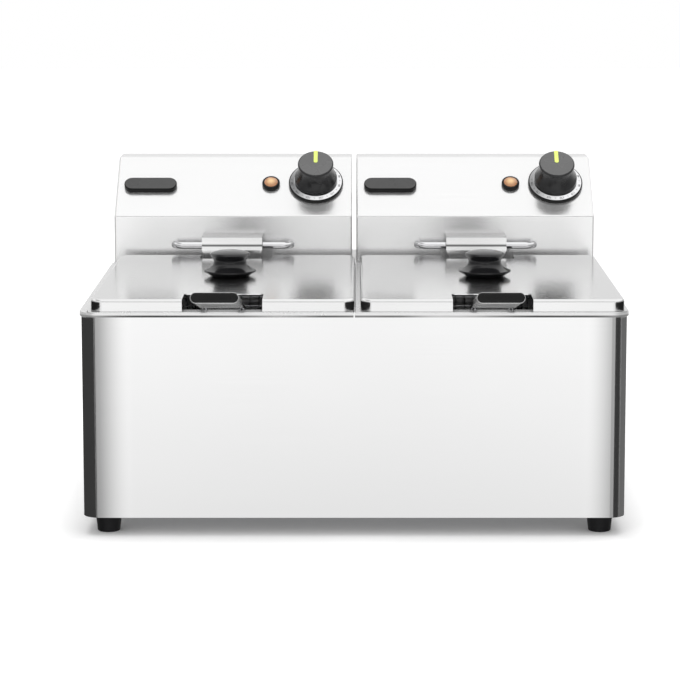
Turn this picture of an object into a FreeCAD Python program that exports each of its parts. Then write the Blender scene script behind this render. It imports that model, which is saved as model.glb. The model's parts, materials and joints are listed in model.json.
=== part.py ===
import FreeCAD, Part
import math
import os

# Twin counter-top deep fryer: a shared casing, two lift-out tanks, each with a lid, a basket
# and a lift-off control head. Millimetres, X to the right, Y to the back, Z up.
# The origin is on the table, under the middle of everything from the grips to the cable glands.

os.makedirs("parts", exist_ok=True)
Vector = FreeCAD.Vector

# Fits shared by neighbouring pieces
SLIDE_GAP = 0.4
RUNNING_GAP = 0.05
HOLE_GAP = 0.2
REST_GAP = 0.35
WELD_GAP = 0.1

# How close two lines count as one, and how much of a full round a slot's or plate's end has
TOUCH = 1e-3
END_ROUND = 0.499

# Casing
CASING_WIDTH = 436.0
CASING_DEPTH = 380.0
CASING_CORNER = 13.0
SHEET = 1.0
CASING_HEIGHT = 166.0
TOP_FLANGE = 8.0
BOTTOM_FLANGE = 32.0
DIVIDER_WIDTH = 10.0
DIVIDER_HEIGHT = 14.0
BASE_VENT_COUNT = 7
BASE_VENT_WIDTH = 5.0
BASE_VENT_LENGTH = 90.0
BASE_VENT_PITCH = 22.0

# Rubber feet
FOOT_HEIGHT = 15.2
FOOT_TOP_RADIUS = 10.8
FOOT_BOTTOM_RADIUS = 9.1
FOOT_EDGE = 1.2
FOOT_INSET_X = 19.0
FOOT_INSET_Y = 22.0
FOOT_RECESS_RADIUS = 5.0
FOOT_RECESS_DEPTH = 9.0
FOOT_SCREW_RADIUS = 2.0
FOOT_SCREW_HEAD_RADIUS = 4.2
FOOT_SCREW_HEAD = 2.6
FOOT_SCREW_GRIP = 9.0

# Tanks, inset from the fryer's middle, the casing's side and front, and the head's face
TANK_INNER_INSET = 14.0
TANK_OUTER_INSET = 14.0
TANK_FRONT_INSET = 14.0
TANK_REAR_INSET = 13.0
TANK_FLOOR_RAISE = 18.0
TANK_CORNER = 25.0
TANK_BOTTOM_ROUND = 14.0
TANK_MOUTH_ROUND = 0.75
TANK_REAR_FLANGE = 9.5
TANK_SPLIT = 0.6
RIM_LIP_HEIGHT = 4.0
RIM_EDGE_ROUND = 0.8

# Lids, a little narrower than half the casing and set slightly to the right
LID_SIDE_MARGIN = 7.4
LID_GAP = 4.8
LID_SHIFT = 2.7
LID_RAIL_GAP = 1.25
LID_HEIGHT = 9.8
LID_SHEET = 0.8
LID_CORNER = 10.0
LID_EDGE_ROUND = 2.5
LID_FRONT_INSET = 2.0
LID_NOTCH_GAP = 5.0
LID_FRONT_NOTCH = 31.0
LID_REAR_NOTCH = 27.5
LID_NOTCH_CORNER = 3.0

# Lid knobs
LID_KNOB_BASE_RADIUS = 15.5
LID_KNOB_SKIRT_RADIUS = 22.0
LID_KNOB_NECK_RADIUS = 13.8
LID_KNOB_CAP_RADIUS = 17.0
LID_KNOB_SKIRT_HEIGHT = 4.0
LID_KNOB_NECK_HEIGHT = 12.5
LID_KNOB_CAP_HEIGHT = 18.5
LID_KNOB_HEIGHT = 22.0
LID_KNOB_RIM = 1.2
LID_KNOB_SKIRT_LEAN = 0.35
LID_KNOB_CAP_LEAN = 0.6
LID_KNOB_DOME_LEAN = 0.5
LID_SCREW_RADIUS = 2.0
LID_SCREW_HEAD_RADIUS = 4.0
LID_SCREW_HEAD = 2.4
LID_SCREW_BITE = 11.0

# Baskets, with the room that they leave in the tank
BASKET_SIDE_GAP = 7.0
BASKET_FRONT_GAP = 10.0
BASKET_REAR_GAP = 28.0
BASKET_FLOOR_GAP = 33.5
BASKET_SINK = 9.5
BASKET_WALL = 0.8
BASKET_CORNER = 20.0
BASKET_BOTTOM_ROUND = 10.0
FRAME_WIRE = 5.0
HOOK_WIRE = 4.0
HOOK_SPACING = 76.0
HOOK_RISE = 11.0
HOOK_REACH = 12.0
HOOK_TIP_DROP = 12.0
HOOK_BEND = 5.0
HOOK_ROOT_DROP = 38.0

# Basket handles
HANDLE_REACH = 108.0
HANDLE_SLOPE = 11.7
HANDLE_BEND = 8.0
HANDLE_ROOT_DROP = 26.0
GRIP_WIDTH = 36.0
GRIP_THICKNESS = 7.6
GRIP_LENGTH = 84.0
GRIP_END_ROUND = 1.6
GRIP_SOLID_END = 22.0
GRIP_SIDE_WALL = 0.5
TIE_LENGTH = 14.0
TIE_SHEET = 1.5
TIE_GAP = 2.0

# Control heads
HEAD_GAP = 4.0
HEAD_SIDE_INSET = 1.0
HEAD_DEPTH = 90.0
HEAD_FACE_HEIGHT = 42.5
HEAD_PANEL_RISE = 48.0
HEAD_PANEL_SETBACK = 58.0
HEAD_BEND_ROUND = 2.5
HEAD_SIDE_ROUND = 1.5
BACK_PLATE_INSET = 0.5
COVER_SCREW_TAB = 12.0
COVER_SCREW_DROP = 14.0
COVER_SCREW_RAISE = 16.0
COVER_SCREW_RADIUS = 1.5
COVER_SCREW_HEAD_RADIUS = 3.0
COVER_SCREW_HEAD = 1.8
COVER_SCREW_LENGTH = 7.0
VENT_COUNT = 7
VENT_WIDTH = 3.0
VENT_LENGTH = 26.0
VENT_PITCH = 9.0
VENT_RAISE = 42.0
LOCATING_TAB_WIDTH = 18.0
LOCATING_TAB_DROP = 12.0
LOCATING_TAB_THICKNESS = 2.0
LOCATING_TAB_SIDE_INSET = 37.5
LOCATING_TAB_INSET = 22.0

# Rail that a lifted basket hangs on, and the plate over the element legs
RAIL_WIRE = 6.5
RAIL_WIDTH = 111.5
RAIL_STANDOFF = 15.5
RAIL_RAISE = 17.5
RAIL_BEND = 9.0
RAIL_TAIL = 10.0
GUARD_TOP_WIDTH = 54.0
GUARD_STRAP_WIDTH = 50.0
GUARD_RAISE = 27.0
GUARD_TOP_REACH = 25.0
GUARD_STRAP_REACH = 27.0
GUARD_FACE_DROP = 12.5
GUARD_STRAP_DROP = 100.0
GUARD_BEND_ROUND = 1.6

# Heating elements and thermostat bulbs
ELEMENT_DIAMETER = 8.0
ELEMENT_LEG_SPACING = 28.0
ELEMENT_LEG_REACH = 20.8
ELEMENT_LEG_RAISE = 7.5
ELEMENT_LEG_BEND = 12.0
ELEMENT_TAIL = 18.0
ELEMENT_RAISE = 15.5
ELEMENT_LOOP_WIDTH = 130.0
ELEMENT_REAR_RUN = 36.0
ELEMENT_FRONT_GAP = 36.0
ELEMENT_FOLD_WIDTH = 56.0
ELEMENT_FOLD_DEPTH = 120.0
BULB_DIAMETER = 6.0
BULB_LENGTH = 80.0
BULB_DROP = 33.5
CAPILLARY_DIAMETER = 2.4
CAPILLARY_BEND = 6.0

# Pieces on the sloped panel, measured up from the bend line and in from the head's sides
DIAL_INSET_X = 33.0
DIAL_UP = 40.3
DIAL_BASE_RADIUS = 24.8
DIAL_BASE_HEIGHT = 3.0
DIAL_SCALE_RADIUS = 23.7
DIAL_SCALE_EDGE = 0.3
DIAL_SCALE_HEIGHT = 1.6
DIAL_SCALE_FLAT = 0.7
KNOB_SKIRT_RADIUS = 19.3
KNOB_WAIST_RADIUS = 16.4
KNOB_CAP_RADIUS = 16.2
KNOB_SKIRT_HEIGHT = 3.5
KNOB_HEIGHT = 21.7
KNOB_LIFT = 0.6
KNOB_EDGE_ROUND = 1.4
KNOB_BORE_DEPTH = 14.0
POINTER_WIDTH = 3.6
POINTER_LENGTH = 15.5
POINTER_DEPTH = 1.0
POINTER_PROUD = 0.3
POINTER_END_GAP = 0.4
SPINDLE_RADIUS = 3.0
SPINDLE_TAIL = 15.0
BUSH_RADIUS = 4.8
THERMOSTAT_WIDTH = 32.0
THERMOSTAT_LENGTH = 36.0
THERMOSTAT_DEPTH = 24.0
PILOT_SPACING = 41.0
PILOT_UP = 39.3
PILOT_RADIUS = 8.1
PILOT_HEIGHT = 3.8
PILOT_RIM = 2.0
PILOT_EDGE_ROUND = 1.2
PILOT_BARREL_RADIUS = 5.8
PILOT_BARREL_LENGTH = 20.0
PILOT_LENS_SEAT = 0.6
PILOT_LENS_DOME = 1.6
PILOT_LENS_LEAN = 0.9
BADGE_INSET_X = 31.0
BADGE_UP = 37.0
BADGE_WIDTH = 48.0
BADGE_HEIGHT = 15.0
BADGE_THICKNESS = 4.5
BADGE_EDGE_ROUND = 1.0

# Pieces behind and inside the head
CUTOUT_INSET_X = 37.5
CUTOUT_RAISE = 40.0
CUTOUT_RADIUS = 12.0
CUTOUT_DEPTH = 18.0
BUTTON_RADIUS = 4.0
BUTTON_PROUD = 5.0
BUTTON_TRAVEL = 3.0
BUTTON_STEM = 8.0
TERMINAL_INSET_X = 67.5
TERMINAL_WIDTH = 48.0
TERMINAL_DEPTH = 20.0
TERMINAL_HEIGHT = 16.0
TERMINAL_BACK_GAP = 20.0
TERMINAL_COUNT = 3
TERMINAL_WELL_RADIUS = 4.0
TERMINAL_WELL_DEPTH = 9.0
GLAND_INSET_X = 37.5
GLAND_RAISE = 20.0
GLAND_REACH = 12.0
GLAND_RADIUS = 11.0
GLAND_NOSE_RADIUS = 7.5
GLAND_COLLAR = 5.0
GLAND_BODY_RADIUS = 7.8
GLAND_BODY_LENGTH = 8.0
GLAND_BORE_RADIUS = 4.0

# Levels and lines worked out from the sizes above
FRONT = -(CASING_DEPTH + GLAND_REACH - HANDLE_REACH) / 2
BACK = FRONT + CASING_DEPTH
HALF_WIDTH = CASING_WIDTH / 2
CASING_TOP = FOOT_HEIGHT + CASING_HEIGHT
DECK_TOP = CASING_TOP + SHEET
HEAD_FRONT = BACK - HEAD_DEPTH
TANK_INNER_X = TANK_INNER_INSET
TANK_OUTER_X = HALF_WIDTH - TANK_OUTER_INSET
TANK_MIDDLE_X = (TANK_INNER_X + TANK_OUTER_X) / 2
TANK_FRONT = FRONT + TANK_FRONT_INSET
TANK_REAR = HEAD_FRONT - TANK_REAR_INSET
TANK_BOTTOM = FOOT_HEIGHT + TANK_FLOOR_RAISE
FLANGE_REAR = TANK_REAR + TANK_REAR_FLANGE
HEAD_WIDTH = HALF_WIDTH - HEAD_GAP / 2 - HEAD_SIDE_INSET
HEAD_MIDDLE_X = (HEAD_GAP + HEAD_WIDTH) / 2
HEAD_BOTTOM = DECK_TOP + SHEET
HEAD_BEND_Z = DECK_TOP + HEAD_FACE_HEIGHT
HEAD_TOP = HEAD_BEND_Z + HEAD_PANEL_RISE
PANEL_ANGLE = math.degrees(math.atan2(HEAD_PANEL_RISE, HEAD_PANEL_SETBACK))
BACK_PLATE_OUT = BACK - BACK_PLATE_INSET
BACK_PLATE_IN = BACK_PLATE_OUT - SHEET
LID_TOP = DECK_TOP + LID_HEIGHT
LID_WIDTH = HALF_WIDTH - LID_SIDE_MARGIN
LID_FRONT = FRONT + LID_FRONT_INSET
LID_REAR = HEAD_FRONT - RAIL_STANDOFF - RAIL_WIRE / 2 - LID_RAIL_GAP
LID_NOTCH_WIDTH = GUARD_TOP_WIDTH + 2 * LID_NOTCH_GAP
BASKET_WIDTH = TANK_OUTER_X - TANK_INNER_X - 2 * BASKET_SIDE_GAP
BASKET_FRONT = TANK_FRONT + BASKET_FRONT_GAP
BASKET_REAR = TANK_REAR - BASKET_REAR_GAP
BASKET_TOP = DECK_TOP - BASKET_SINK
BASKET_BOTTOM = TANK_BOTTOM + BASKET_FLOOR_GAP
BULB_TOP = DECK_TOP - BULB_DROP
HANDLE_SPACING = GRIP_WIDTH - FRAME_WIRE - 2 * GRIP_SIDE_WALL
DIAL_OFFSET_X = HEAD_WIDTH / 2 - DIAL_INSET_X
PILOT_OFFSET_X = DIAL_OFFSET_X - PILOT_SPACING
PILOT_LENS_RADIUS = PILOT_RADIUS - PILOT_RIM
BADGE_OFFSET_X = BADGE_INSET_X - HEAD_WIDTH / 2
CUTOUT_OFFSET_X = HEAD_WIDTH / 2 - CUTOUT_INSET_X
TERMINAL_OFFSET_X = TERMINAL_INSET_X - HEAD_WIDTH / 2
GLAND_OFFSET_X = GLAND_INSET_X - HEAD_WIDTH / 2


def save(name, shape):
    """Write one piece, and say how many solids it has."""
    shape.exportStep("parts/" + name + ".step")
    print(name, len(shape.Solids), round(shape.Volume), shape.isValid())


def block(x0, x1, y0, y1, z0, z1):
    """A box between two corners."""
    return Part.makeBox(x1 - x0, y1 - y0, z1 - z0, Vector(x0, y0, z0))


def rounded_wire(points, radii, closed):
    """Straight runs between points, with a tangent arc at each corner that has a radius."""
    count = len(points)
    entries = []
    for index, point in enumerate(points):
        radius = radii[index]
        at_end = not closed and index in (0, count - 1)
        if radius == 0 or at_end:
            entries.append((point, None, point))
            continue
        back = (points[index - 1] - point).normalize()
        ahead = (points[(index + 1) % count] - point).normalize()
        half = back.getAngle(ahead) / 2
        middle = (back + ahead).normalize()
        reach = radius / math.tan(half)
        crown = point + middle * (radius / math.sin(half) - radius)
        entries.append((point + back * reach, crown, point + ahead * reach))
    edges = []
    for index, (first, crown, last) in enumerate(entries):
        if crown is not None:
            edges.append(Part.Arc(first, crown, last).toShape())
        if index == count - 1 and not closed:
            break
        following = entries[(index + 1) % count][0]
        if last.distanceToPoint(following) > TOUCH:
            edges.append(Part.LineSegment(last, following).toShape())
    return Part.Wire(edges)


def rounded_prism(x0, x1, y0, y1, z0, z1, radius):
    """An upright block whose four upright edges are rounded."""
    corners = [Vector(x0, y0, z0), Vector(x1, y0, z0), Vector(x1, y1, z0), Vector(x0, y1, z0)]
    outline = rounded_wire(corners, [radius] * 4, True)
    return Part.Face(outline).extrude(Vector(0, 0, z1 - z0))


def level_edges(shape, height):
    """The edges of a shape that lie wholly at one height."""
    found = []
    for edge in shape.Edges:
        box = edge.BoundBox
        if abs(box.ZMin - height) < TOUCH and abs(box.ZMax - height) < TOUCH:
            found.append(edge)
    return found


def turned(edges):
    """A piece turned about the Z axis from the edges of its half section."""
    return Part.Face(Part.Wire(edges)).revolve(Vector(0, 0, 0), Vector(0, 0, 1), 360)


def section(points):
    """Straight edges of a half section, from radius and height pairs, closed at the end."""
    corners = [Vector(radius, 0, height) for radius, height in points]
    return Part.makePolygon(corners + [corners[0]]).Edges


def bent_rod(points, diameter, bend_radius):
    """Round bar along straight runs with bends of one radius."""
    path = rounded_wire(points, [bend_radius] * len(points), False)
    ring = Part.Circle(points[0], points[1] - points[0], diameter / 2).toShape()
    return path.makePipeShell([Part.Wire(ring)], True, False)


def rod(start, end, radius):
    """Straight round bar between two points."""
    return Part.makeCylinder(radius, start.distanceToPoint(end), start, end - start)


def placed(shape, placement):
    """A copy of a shape at a place."""
    copy = shape.copy()
    copy.Placement = placement.multiply(copy.Placement)
    return copy


def upright_at(x, y, z):
    """A place whose own axes are the object's."""
    return FreeCAD.Placement(Vector(x, y, z), FreeCAD.Rotation())


def backward_at(x, y, z):
    """A place whose own Z axis points to the back of the object."""
    return FreeCAD.Placement(Vector(x, y, z), FreeCAD.Rotation(Vector(1, 0, 0), -90))


def panel_at(middle, offset, up):
    """A place on a head's sloped panel, with Z out of the panel and Y up the slope."""
    run = HEAD_FRONT + up * math.cos(math.radians(PANEL_ANGLE))
    rise = HEAD_BEND_Z + up * math.sin(math.radians(PANEL_ANGLE))
    lean = FreeCAD.Rotation(Vector(1, 0, 0), PANEL_ANGLE)
    return FreeCAD.Placement(Vector(middle + offset, run, rise), lean)


# Casing

def foot_places():
    """The four places where a foot is screwed on, at table height."""
    reach = HALF_WIDTH - FOOT_INSET_X
    rows = (FRONT + FOOT_INSET_Y, BACK - FOOT_INSET_Y)
    return [Vector(side * reach, row, 0) for side in (-1, 1) for row in rows]


def foot_screw_holes():
    """Clearance holes for the four foot screws, through the floor of the casing."""
    radius = FOOT_SCREW_RADIUS + HOLE_GAP
    up = Vector(0, 0, FOOT_SCREW_GRIP + FOOT_HEIGHT)
    return [rod(place, place + up, radius) for place in foot_places()]


def casing_shell():
    """Wrapped sheet body with inturned top and bottom edges and the bar between the tanks."""
    outer = rounded_prism(-HALF_WIDTH, HALF_WIDTH, FRONT, BACK, FOOT_HEIGHT, CASING_TOP, CASING_CORNER)
    inside = (-HALF_WIDTH + SHEET, HALF_WIDTH - SHEET, FRONT + SHEET, BACK - SHEET)
    room = rounded_prism(*inside, FOOT_HEIGHT + SHEET, CASING_TOP - SHEET, CASING_CORNER - SHEET)
    mouth = block(-HALF_WIDTH + TOP_FLANGE, HALF_WIDTH - TOP_FLANGE, FRONT + TOP_FLANGE,
                  BACK - TOP_FLANGE, CASING_TOP - SHEET, CASING_TOP)
    floor = block(-HALF_WIDTH + BOTTOM_FLANGE, HALF_WIDTH - BOTTOM_FLANGE, FRONT + BOTTOM_FLANGE,
                  BACK - BOTTOM_FLANGE, FOOT_HEIGHT, FOOT_HEIGHT + SHEET)
    bar = block(-DIVIDER_WIDTH / 2, DIVIDER_WIDTH / 2, FRONT + SHEET, BACK - SHEET,
                CASING_TOP - DIVIDER_HEIGHT, CASING_TOP)
    groove = block(-DIVIDER_WIDTH / 2 + SHEET, DIVIDER_WIDTH / 2 - SHEET, FRONT + SHEET, BACK - SHEET,
                   CASING_TOP - DIVIDER_HEIGHT, CASING_TOP - SHEET)
    shell = outer.cut([room, mouth, floor]).fuse(bar.cut(groove))
    return shell.cut(foot_screw_holes()).removeSplitter()


def base_plate():
    """Floor sheet inside the casing, with cooling slots."""
    edge = SHEET + SLIDE_GAP
    plate = rounded_prism(-HALF_WIDTH + edge, HALF_WIDTH - edge, FRONT + edge, BACK - edge,
                          FOOT_HEIGHT + SHEET, FOOT_HEIGHT + 2 * SHEET, CASING_CORNER - edge)
    middle_y = (FRONT + BACK) / 2
    slots = []
    for side in (-1, 1):
        for index in range(BASE_VENT_COUNT):
            x = side * TANK_MIDDLE_X + (index - (BASE_VENT_COUNT - 1) / 2) * BASE_VENT_PITCH
            slots.append(rounded_prism(x - BASE_VENT_WIDTH / 2, x + BASE_VENT_WIDTH / 2,
                                       middle_y - BASE_VENT_LENGTH / 2, middle_y + BASE_VENT_LENGTH / 2,
                                       FOOT_HEIGHT, FOOT_HEIGHT + 3 * SHEET, BASE_VENT_WIDTH * END_ROUND))
    return plate.cut(slots + foot_screw_holes())


def locating_slots(gap):
    """Upright blocks at the four locating tabs, grown by a gap for the slots in the deck."""
    blocks = []
    for side in (-1, 1):
        for hand in (-1, 1):
            x = side * HEAD_MIDDLE_X + hand * (HEAD_WIDTH / 2 - LOCATING_TAB_SIDE_INSET)
            half = LOCATING_TAB_WIDTH / 2 + gap
            y = BACK - LOCATING_TAB_INSET
            blocks.append(block(x - half, x + half, y - gap, y + LOCATING_TAB_THICKNESS + gap,
                                DECK_TOP - LOCATING_TAB_DROP, DECK_TOP))
    return blocks


def rear_deck():
    """Plate behind the tanks that the two heads stand on."""
    start = FLANGE_REAR + SLIDE_GAP
    corners = [Vector(-HALF_WIDTH, start, CASING_TOP), Vector(HALF_WIDTH, start, CASING_TOP),
               Vector(HALF_WIDTH, BACK, CASING_TOP), Vector(-HALF_WIDTH, BACK, CASING_TOP)]
    outline = rounded_wire(corners, [0, 0, CASING_CORNER, CASING_CORNER], True)
    plate = Part.Face(outline).extrude(Vector(0, 0, SHEET))
    return plate.cut(locating_slots(SLIDE_GAP))


def rubber_feet():
    """Four tapered feet with a sunk screw hole."""
    cone = Part.makeCone(FOOT_BOTTOM_RADIUS, FOOT_TOP_RADIUS, FOOT_HEIGHT)
    cone = cone.makeFillet(FOOT_EDGE, level_edges(cone, 0))
    recess = Part.makeCylinder(FOOT_RECESS_RADIUS, FOOT_RECESS_DEPTH)
    hole = Part.makeCylinder(FOOT_SCREW_RADIUS + HOLE_GAP, FOOT_HEIGHT)
    foot = cone.cut([recess, hole])
    return Part.makeCompound([placed(foot, upright_at(*place)) for place in foot_places()])


def foot_screws():
    """Four pan-head screws, each up through a foot into the floor."""
    seat = FOOT_RECESS_DEPTH
    top = FOOT_HEIGHT + FOOT_SCREW_GRIP
    screw = turned(section([(0, seat - FOOT_SCREW_HEAD), (FOOT_SCREW_HEAD_RADIUS, seat - FOOT_SCREW_HEAD),
                            (FOOT_SCREW_HEAD_RADIUS, seat), (FOOT_SCREW_RADIUS, seat),
                            (FOOT_SCREW_RADIUS, top), (0, top)]))
    return Part.makeCompound([placed(screw, upright_at(*place)) for place in foot_places()])


# Tanks

def right_tank():
    """Drawn well with a flat flange whose front and outer edges turn down over the casing."""
    lip = SHEET + SLIDE_GAP
    inner, outer = TANK_SPLIT, HALF_WIDTH + lip
    low = DECK_TOP - RIM_LIP_HEIGHT
    corners = [Vector(inner, FRONT - lip, low), Vector(outer, FRONT - lip, low),
               Vector(outer, FLANGE_REAR, low), Vector(inner, FLANGE_REAR, low)]
    outline = rounded_wire(corners, [0, CASING_CORNER + lip, 0, 0], True)
    flange = Part.Face(outline).extrude(Vector(0, 0, RIM_LIP_HEIGHT))
    rim_edges = [edge for edge in level_edges(flange, DECK_TOP)
                 if edge.BoundBox.XMax > outer - TOUCH or edge.BoundBox.YMin < FRONT - lip + TOUCH]
    flange = flange.makeFillet(RIM_EDGE_ROUND, rim_edges)
    corners = [Vector(0, FRONT - SLIDE_GAP, low), Vector(HALF_WIDTH + SLIDE_GAP, FRONT - SLIDE_GAP, low),
               Vector(HALF_WIDTH + SLIDE_GAP, BACK, low), Vector(0, BACK, low)]
    under = rounded_wire(corners, [0, CASING_CORNER + SLIDE_GAP, 0, 0], True)
    flange = flange.cut(Part.Face(under).extrude(Vector(0, 0, RIM_LIP_HEIGHT - SHEET)))
    left, right = TANK_INNER_X, TANK_OUTER_X
    well = rounded_prism(left - SHEET, right + SHEET, TANK_FRONT - SHEET, TANK_REAR + SHEET,
                         TANK_BOTTOM - SHEET, CASING_TOP, TANK_CORNER + SHEET)
    well = well.makeFillet(TANK_BOTTOM_ROUND + SHEET, level_edges(well, TANK_BOTTOM - SHEET))
    room = rounded_prism(left, right, TANK_FRONT, TANK_REAR, TANK_BOTTOM, DECK_TOP, TANK_CORNER)
    room = room.makeFillet(TANK_BOTTOM_ROUND, level_edges(room, TANK_BOTTOM))
    tank = flange.fuse(well).cut(room).removeSplitter()
    mouth = [edge for edge in level_edges(tank, DECK_TOP)
             if left - TOUCH < edge.BoundBox.XMin and edge.BoundBox.XMax < right + TOUCH
             and TANK_FRONT - TOUCH < edge.BoundBox.YMin and edge.BoundBox.YMax < TANK_REAR + TOUCH]
    return tank.makeFillet(TANK_MOUTH_ROUND, mouth)


def left_tank():
    """The other tank is its mirror image."""
    return right_tank().mirror(Vector(0, 0, 0), Vector(1, 0, 0))


# Lids

def lid_cover(middle):
    """Pressed lid with a turned-down edge, notched front and rear."""
    half = LID_WIDTH / 2
    outer = rounded_prism(middle - half, middle + half, LID_FRONT, LID_REAR, DECK_TOP, LID_TOP, LID_CORNER)
    outer = outer.makeFillet(LID_EDGE_ROUND, level_edges(outer, LID_TOP))
    room = rounded_prism(middle - half + LID_SHEET, middle + half - LID_SHEET, LID_FRONT + LID_SHEET,
                         LID_REAR - LID_SHEET, DECK_TOP, LID_TOP - LID_SHEET, LID_CORNER - LID_SHEET)
    room = room.makeFillet(LID_EDGE_ROUND - LID_SHEET, level_edges(room, LID_TOP - LID_SHEET))
    notch = LID_NOTCH_WIDTH / 2
    cuts = [rounded_prism(middle - notch, middle + notch, edge - reach, edge + reach,
                          DECK_TOP, LID_TOP, LID_NOTCH_CORNER)
            for edge, reach in ((LID_FRONT, LID_FRONT_NOTCH), (LID_REAR, LID_REAR_NOTCH))]
    y = (LID_FRONT + LID_REAR) / 2
    hole = rod(Vector(middle, y, DECK_TOP), Vector(middle, y, LID_TOP), LID_SCREW_RADIUS + HOLE_GAP)
    return outer.cut([room, hole] + cuts)


def lid_middle(middle):
    """The point on top of a lid where its knob stands."""
    return upright_at(middle, (LID_FRONT + LID_REAR) / 2, LID_TOP)


def lid_knob(middle):
    """Moulded knob with a flared skirt, a waist and a domed cap."""
    base = Vector(LID_KNOB_BASE_RADIUS, 0, 0)
    skirt = Vector(LID_KNOB_SKIRT_RADIUS, 0, LID_KNOB_SKIRT_HEIGHT)
    skirt_top = skirt + Vector(0, 0, LID_KNOB_RIM)
    neck = Vector(LID_KNOB_NECK_RADIUS, 0, LID_KNOB_NECK_HEIGHT)
    cap = Vector(LID_KNOB_CAP_RADIUS, 0, LID_KNOB_CAP_HEIGHT)
    cap_top = cap + Vector(-LID_KNOB_RIM, 0, LID_KNOB_RIM)
    crown = Vector(0, 0, LID_KNOB_HEIGHT)
    waist = Part.BSplineCurve()
    leans = [Vector(-1, 0, LID_KNOB_SKIRT_LEAN), Vector(0, 0, 1), Vector(LID_KNOB_CAP_LEAN, 0, 1)]
    waist.interpolate([skirt_top, neck, cap], Tangents=leans, TangentFlags=[True, True, True])
    dome = Part.BSplineCurve()
    leans = [Vector(-1, 0, LID_KNOB_DOME_LEAN), Vector(-1, 0, 0)]
    dome.interpolate([cap_top, crown], Tangents=leans, TangentFlags=[True, True])
    bite = Vector(LID_SCREW_RADIUS, 0, LID_SCREW_BITE)
    bite_end = Vector(0, 0, LID_SCREW_BITE)
    mouth = Vector(LID_SCREW_RADIUS, 0, 0)
    edges = [Part.LineSegment(mouth, base).toShape(), Part.LineSegment(base, skirt).toShape(),
             Part.LineSegment(skirt, skirt_top).toShape(), waist.toShape(),
             Part.LineSegment(cap, cap_top).toShape(), dome.toShape(),
             Part.LineSegment(crown, bite_end).toShape(), Part.LineSegment(bite_end, bite).toShape(),
             Part.LineSegment(bite, mouth).toShape()]
    return placed(turned(edges), lid_middle(middle))


def lid_knob_screw(middle):
    """Screw up through the lid into its knob."""
    seat = -LID_SHEET
    low = seat - LID_SCREW_HEAD
    screw = turned(section([(0, low), (LID_SCREW_HEAD_RADIUS, low), (LID_SCREW_HEAD_RADIUS, seat),
                            (LID_SCREW_RADIUS, seat), (LID_SCREW_RADIUS, LID_SCREW_BITE),
                            (0, LID_SCREW_BITE)]))
    return placed(screw, lid_middle(middle))


# Baskets

def basket_mesh(middle):
    """Open wire-cloth tray, as a thin wall of its outer shape."""
    half = BASKET_WIDTH / 2
    outer = rounded_prism(middle - half, middle + half, BASKET_FRONT, BASKET_REAR,
                          BASKET_BOTTOM, BASKET_TOP, BASKET_CORNER)
    outer = outer.makeFillet(BASKET_BOTTOM_ROUND, level_edges(outer, BASKET_BOTTOM))
    room = rounded_prism(middle - half + BASKET_WALL, middle + half - BASKET_WALL,
                         BASKET_FRONT + BASKET_WALL, BASKET_REAR - BASKET_WALL,
                         BASKET_BOTTOM + BASKET_WALL, BASKET_TOP, BASKET_CORNER - BASKET_WALL)
    room = room.makeFillet(BASKET_BOTTOM_ROUND - BASKET_WALL, level_edges(room, BASKET_BOTTOM + BASKET_WALL))
    return outer.cut(room)


def handle_line():
    """Where the handle rods turn over the tank's front edge, and where the grip ends."""
    rod_y = BASKET_FRONT - FRAME_WIRE / 2 - WELD_GAP
    slope = math.radians(HANDLE_SLOPE)
    clear = DECK_TOP + REST_GAP + FRAME_WIRE / 2 / math.cos(slope)
    turn = Vector(0, rod_y, clear - (rod_y - TANK_FRONT) * math.tan(slope))
    ahead = Vector(0, -math.cos(slope), math.sin(slope))
    tip = turn + ahead * ((rod_y - FRONT + HANDLE_REACH) / math.cos(slope))
    return turn, ahead, tip


def handle_place(middle):
    """A place at the grip's end, with Y back along the handle."""
    turn, ahead, tip = handle_line()
    return FreeCAD.Placement(tip + Vector(middle, 0, 0), FreeCAD.Rotation(Vector(1, 0, 0), -HANDLE_SLOPE))


def basket_frame(middle):
    """Welded wire: a rim hoop, two handle rods with a tie plate, and two hooks at the rear."""
    half = BASKET_WIDTH / 2 - BASKET_WALL / 2
    front = BASKET_FRONT + BASKET_WALL / 2
    rear = BASKET_REAR - BASKET_WALL / 2
    z = BASKET_TOP + FRAME_WIRE / 2 + WELD_GAP
    ends = [Vector(middle, front, z), Vector(middle, rear, z)]
    wires = []
    for side in (-1, 1):
        x = middle + side * half
        run = [ends[0], Vector(x, front, z), Vector(x, rear, z), ends[1]]
        wires.append(bent_rod(run, FRAME_WIRE, BASKET_CORNER))
    turn, ahead, tip = handle_line()
    stop = tip - ahead * GRIP_SOLID_END
    for side in (-1, 1):
        across = Vector(middle + side * HANDLE_SPACING / 2, 0, 0)
        root = Vector(0, turn.y, BASKET_TOP - HANDLE_ROOT_DROP)
        wires.append(bent_rod([across + root, across + turn, across + stop], FRAME_WIRE, HANDLE_BEND))
    hook_y = BASKET_REAR + HOOK_WIRE / 2 + WELD_GAP
    for side in (-1, 1):
        x = middle + side * HOOK_SPACING / 2
        top = BASKET_TOP + HOOK_RISE
        hook = [Vector(x, hook_y, BASKET_TOP - HOOK_ROOT_DROP), Vector(x, hook_y, top),
                Vector(x, hook_y + HOOK_REACH, top), Vector(x, hook_y + HOOK_REACH, top - HOOK_TIP_DROP)]
        wires.append(bent_rod(hook, HOOK_WIRE, HOOK_BEND))
    near = GRIP_LENGTH + TIE_GAP
    reach = HANDLE_SPACING / 2
    tie = block(-reach, reach, near, near + TIE_LENGTH, -TIE_SHEET / 2, TIE_SHEET / 2)
    wires.append(placed(tie, handle_place(middle)))
    return wires[0].fuse(wires[1:]).removeSplitter()


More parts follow.
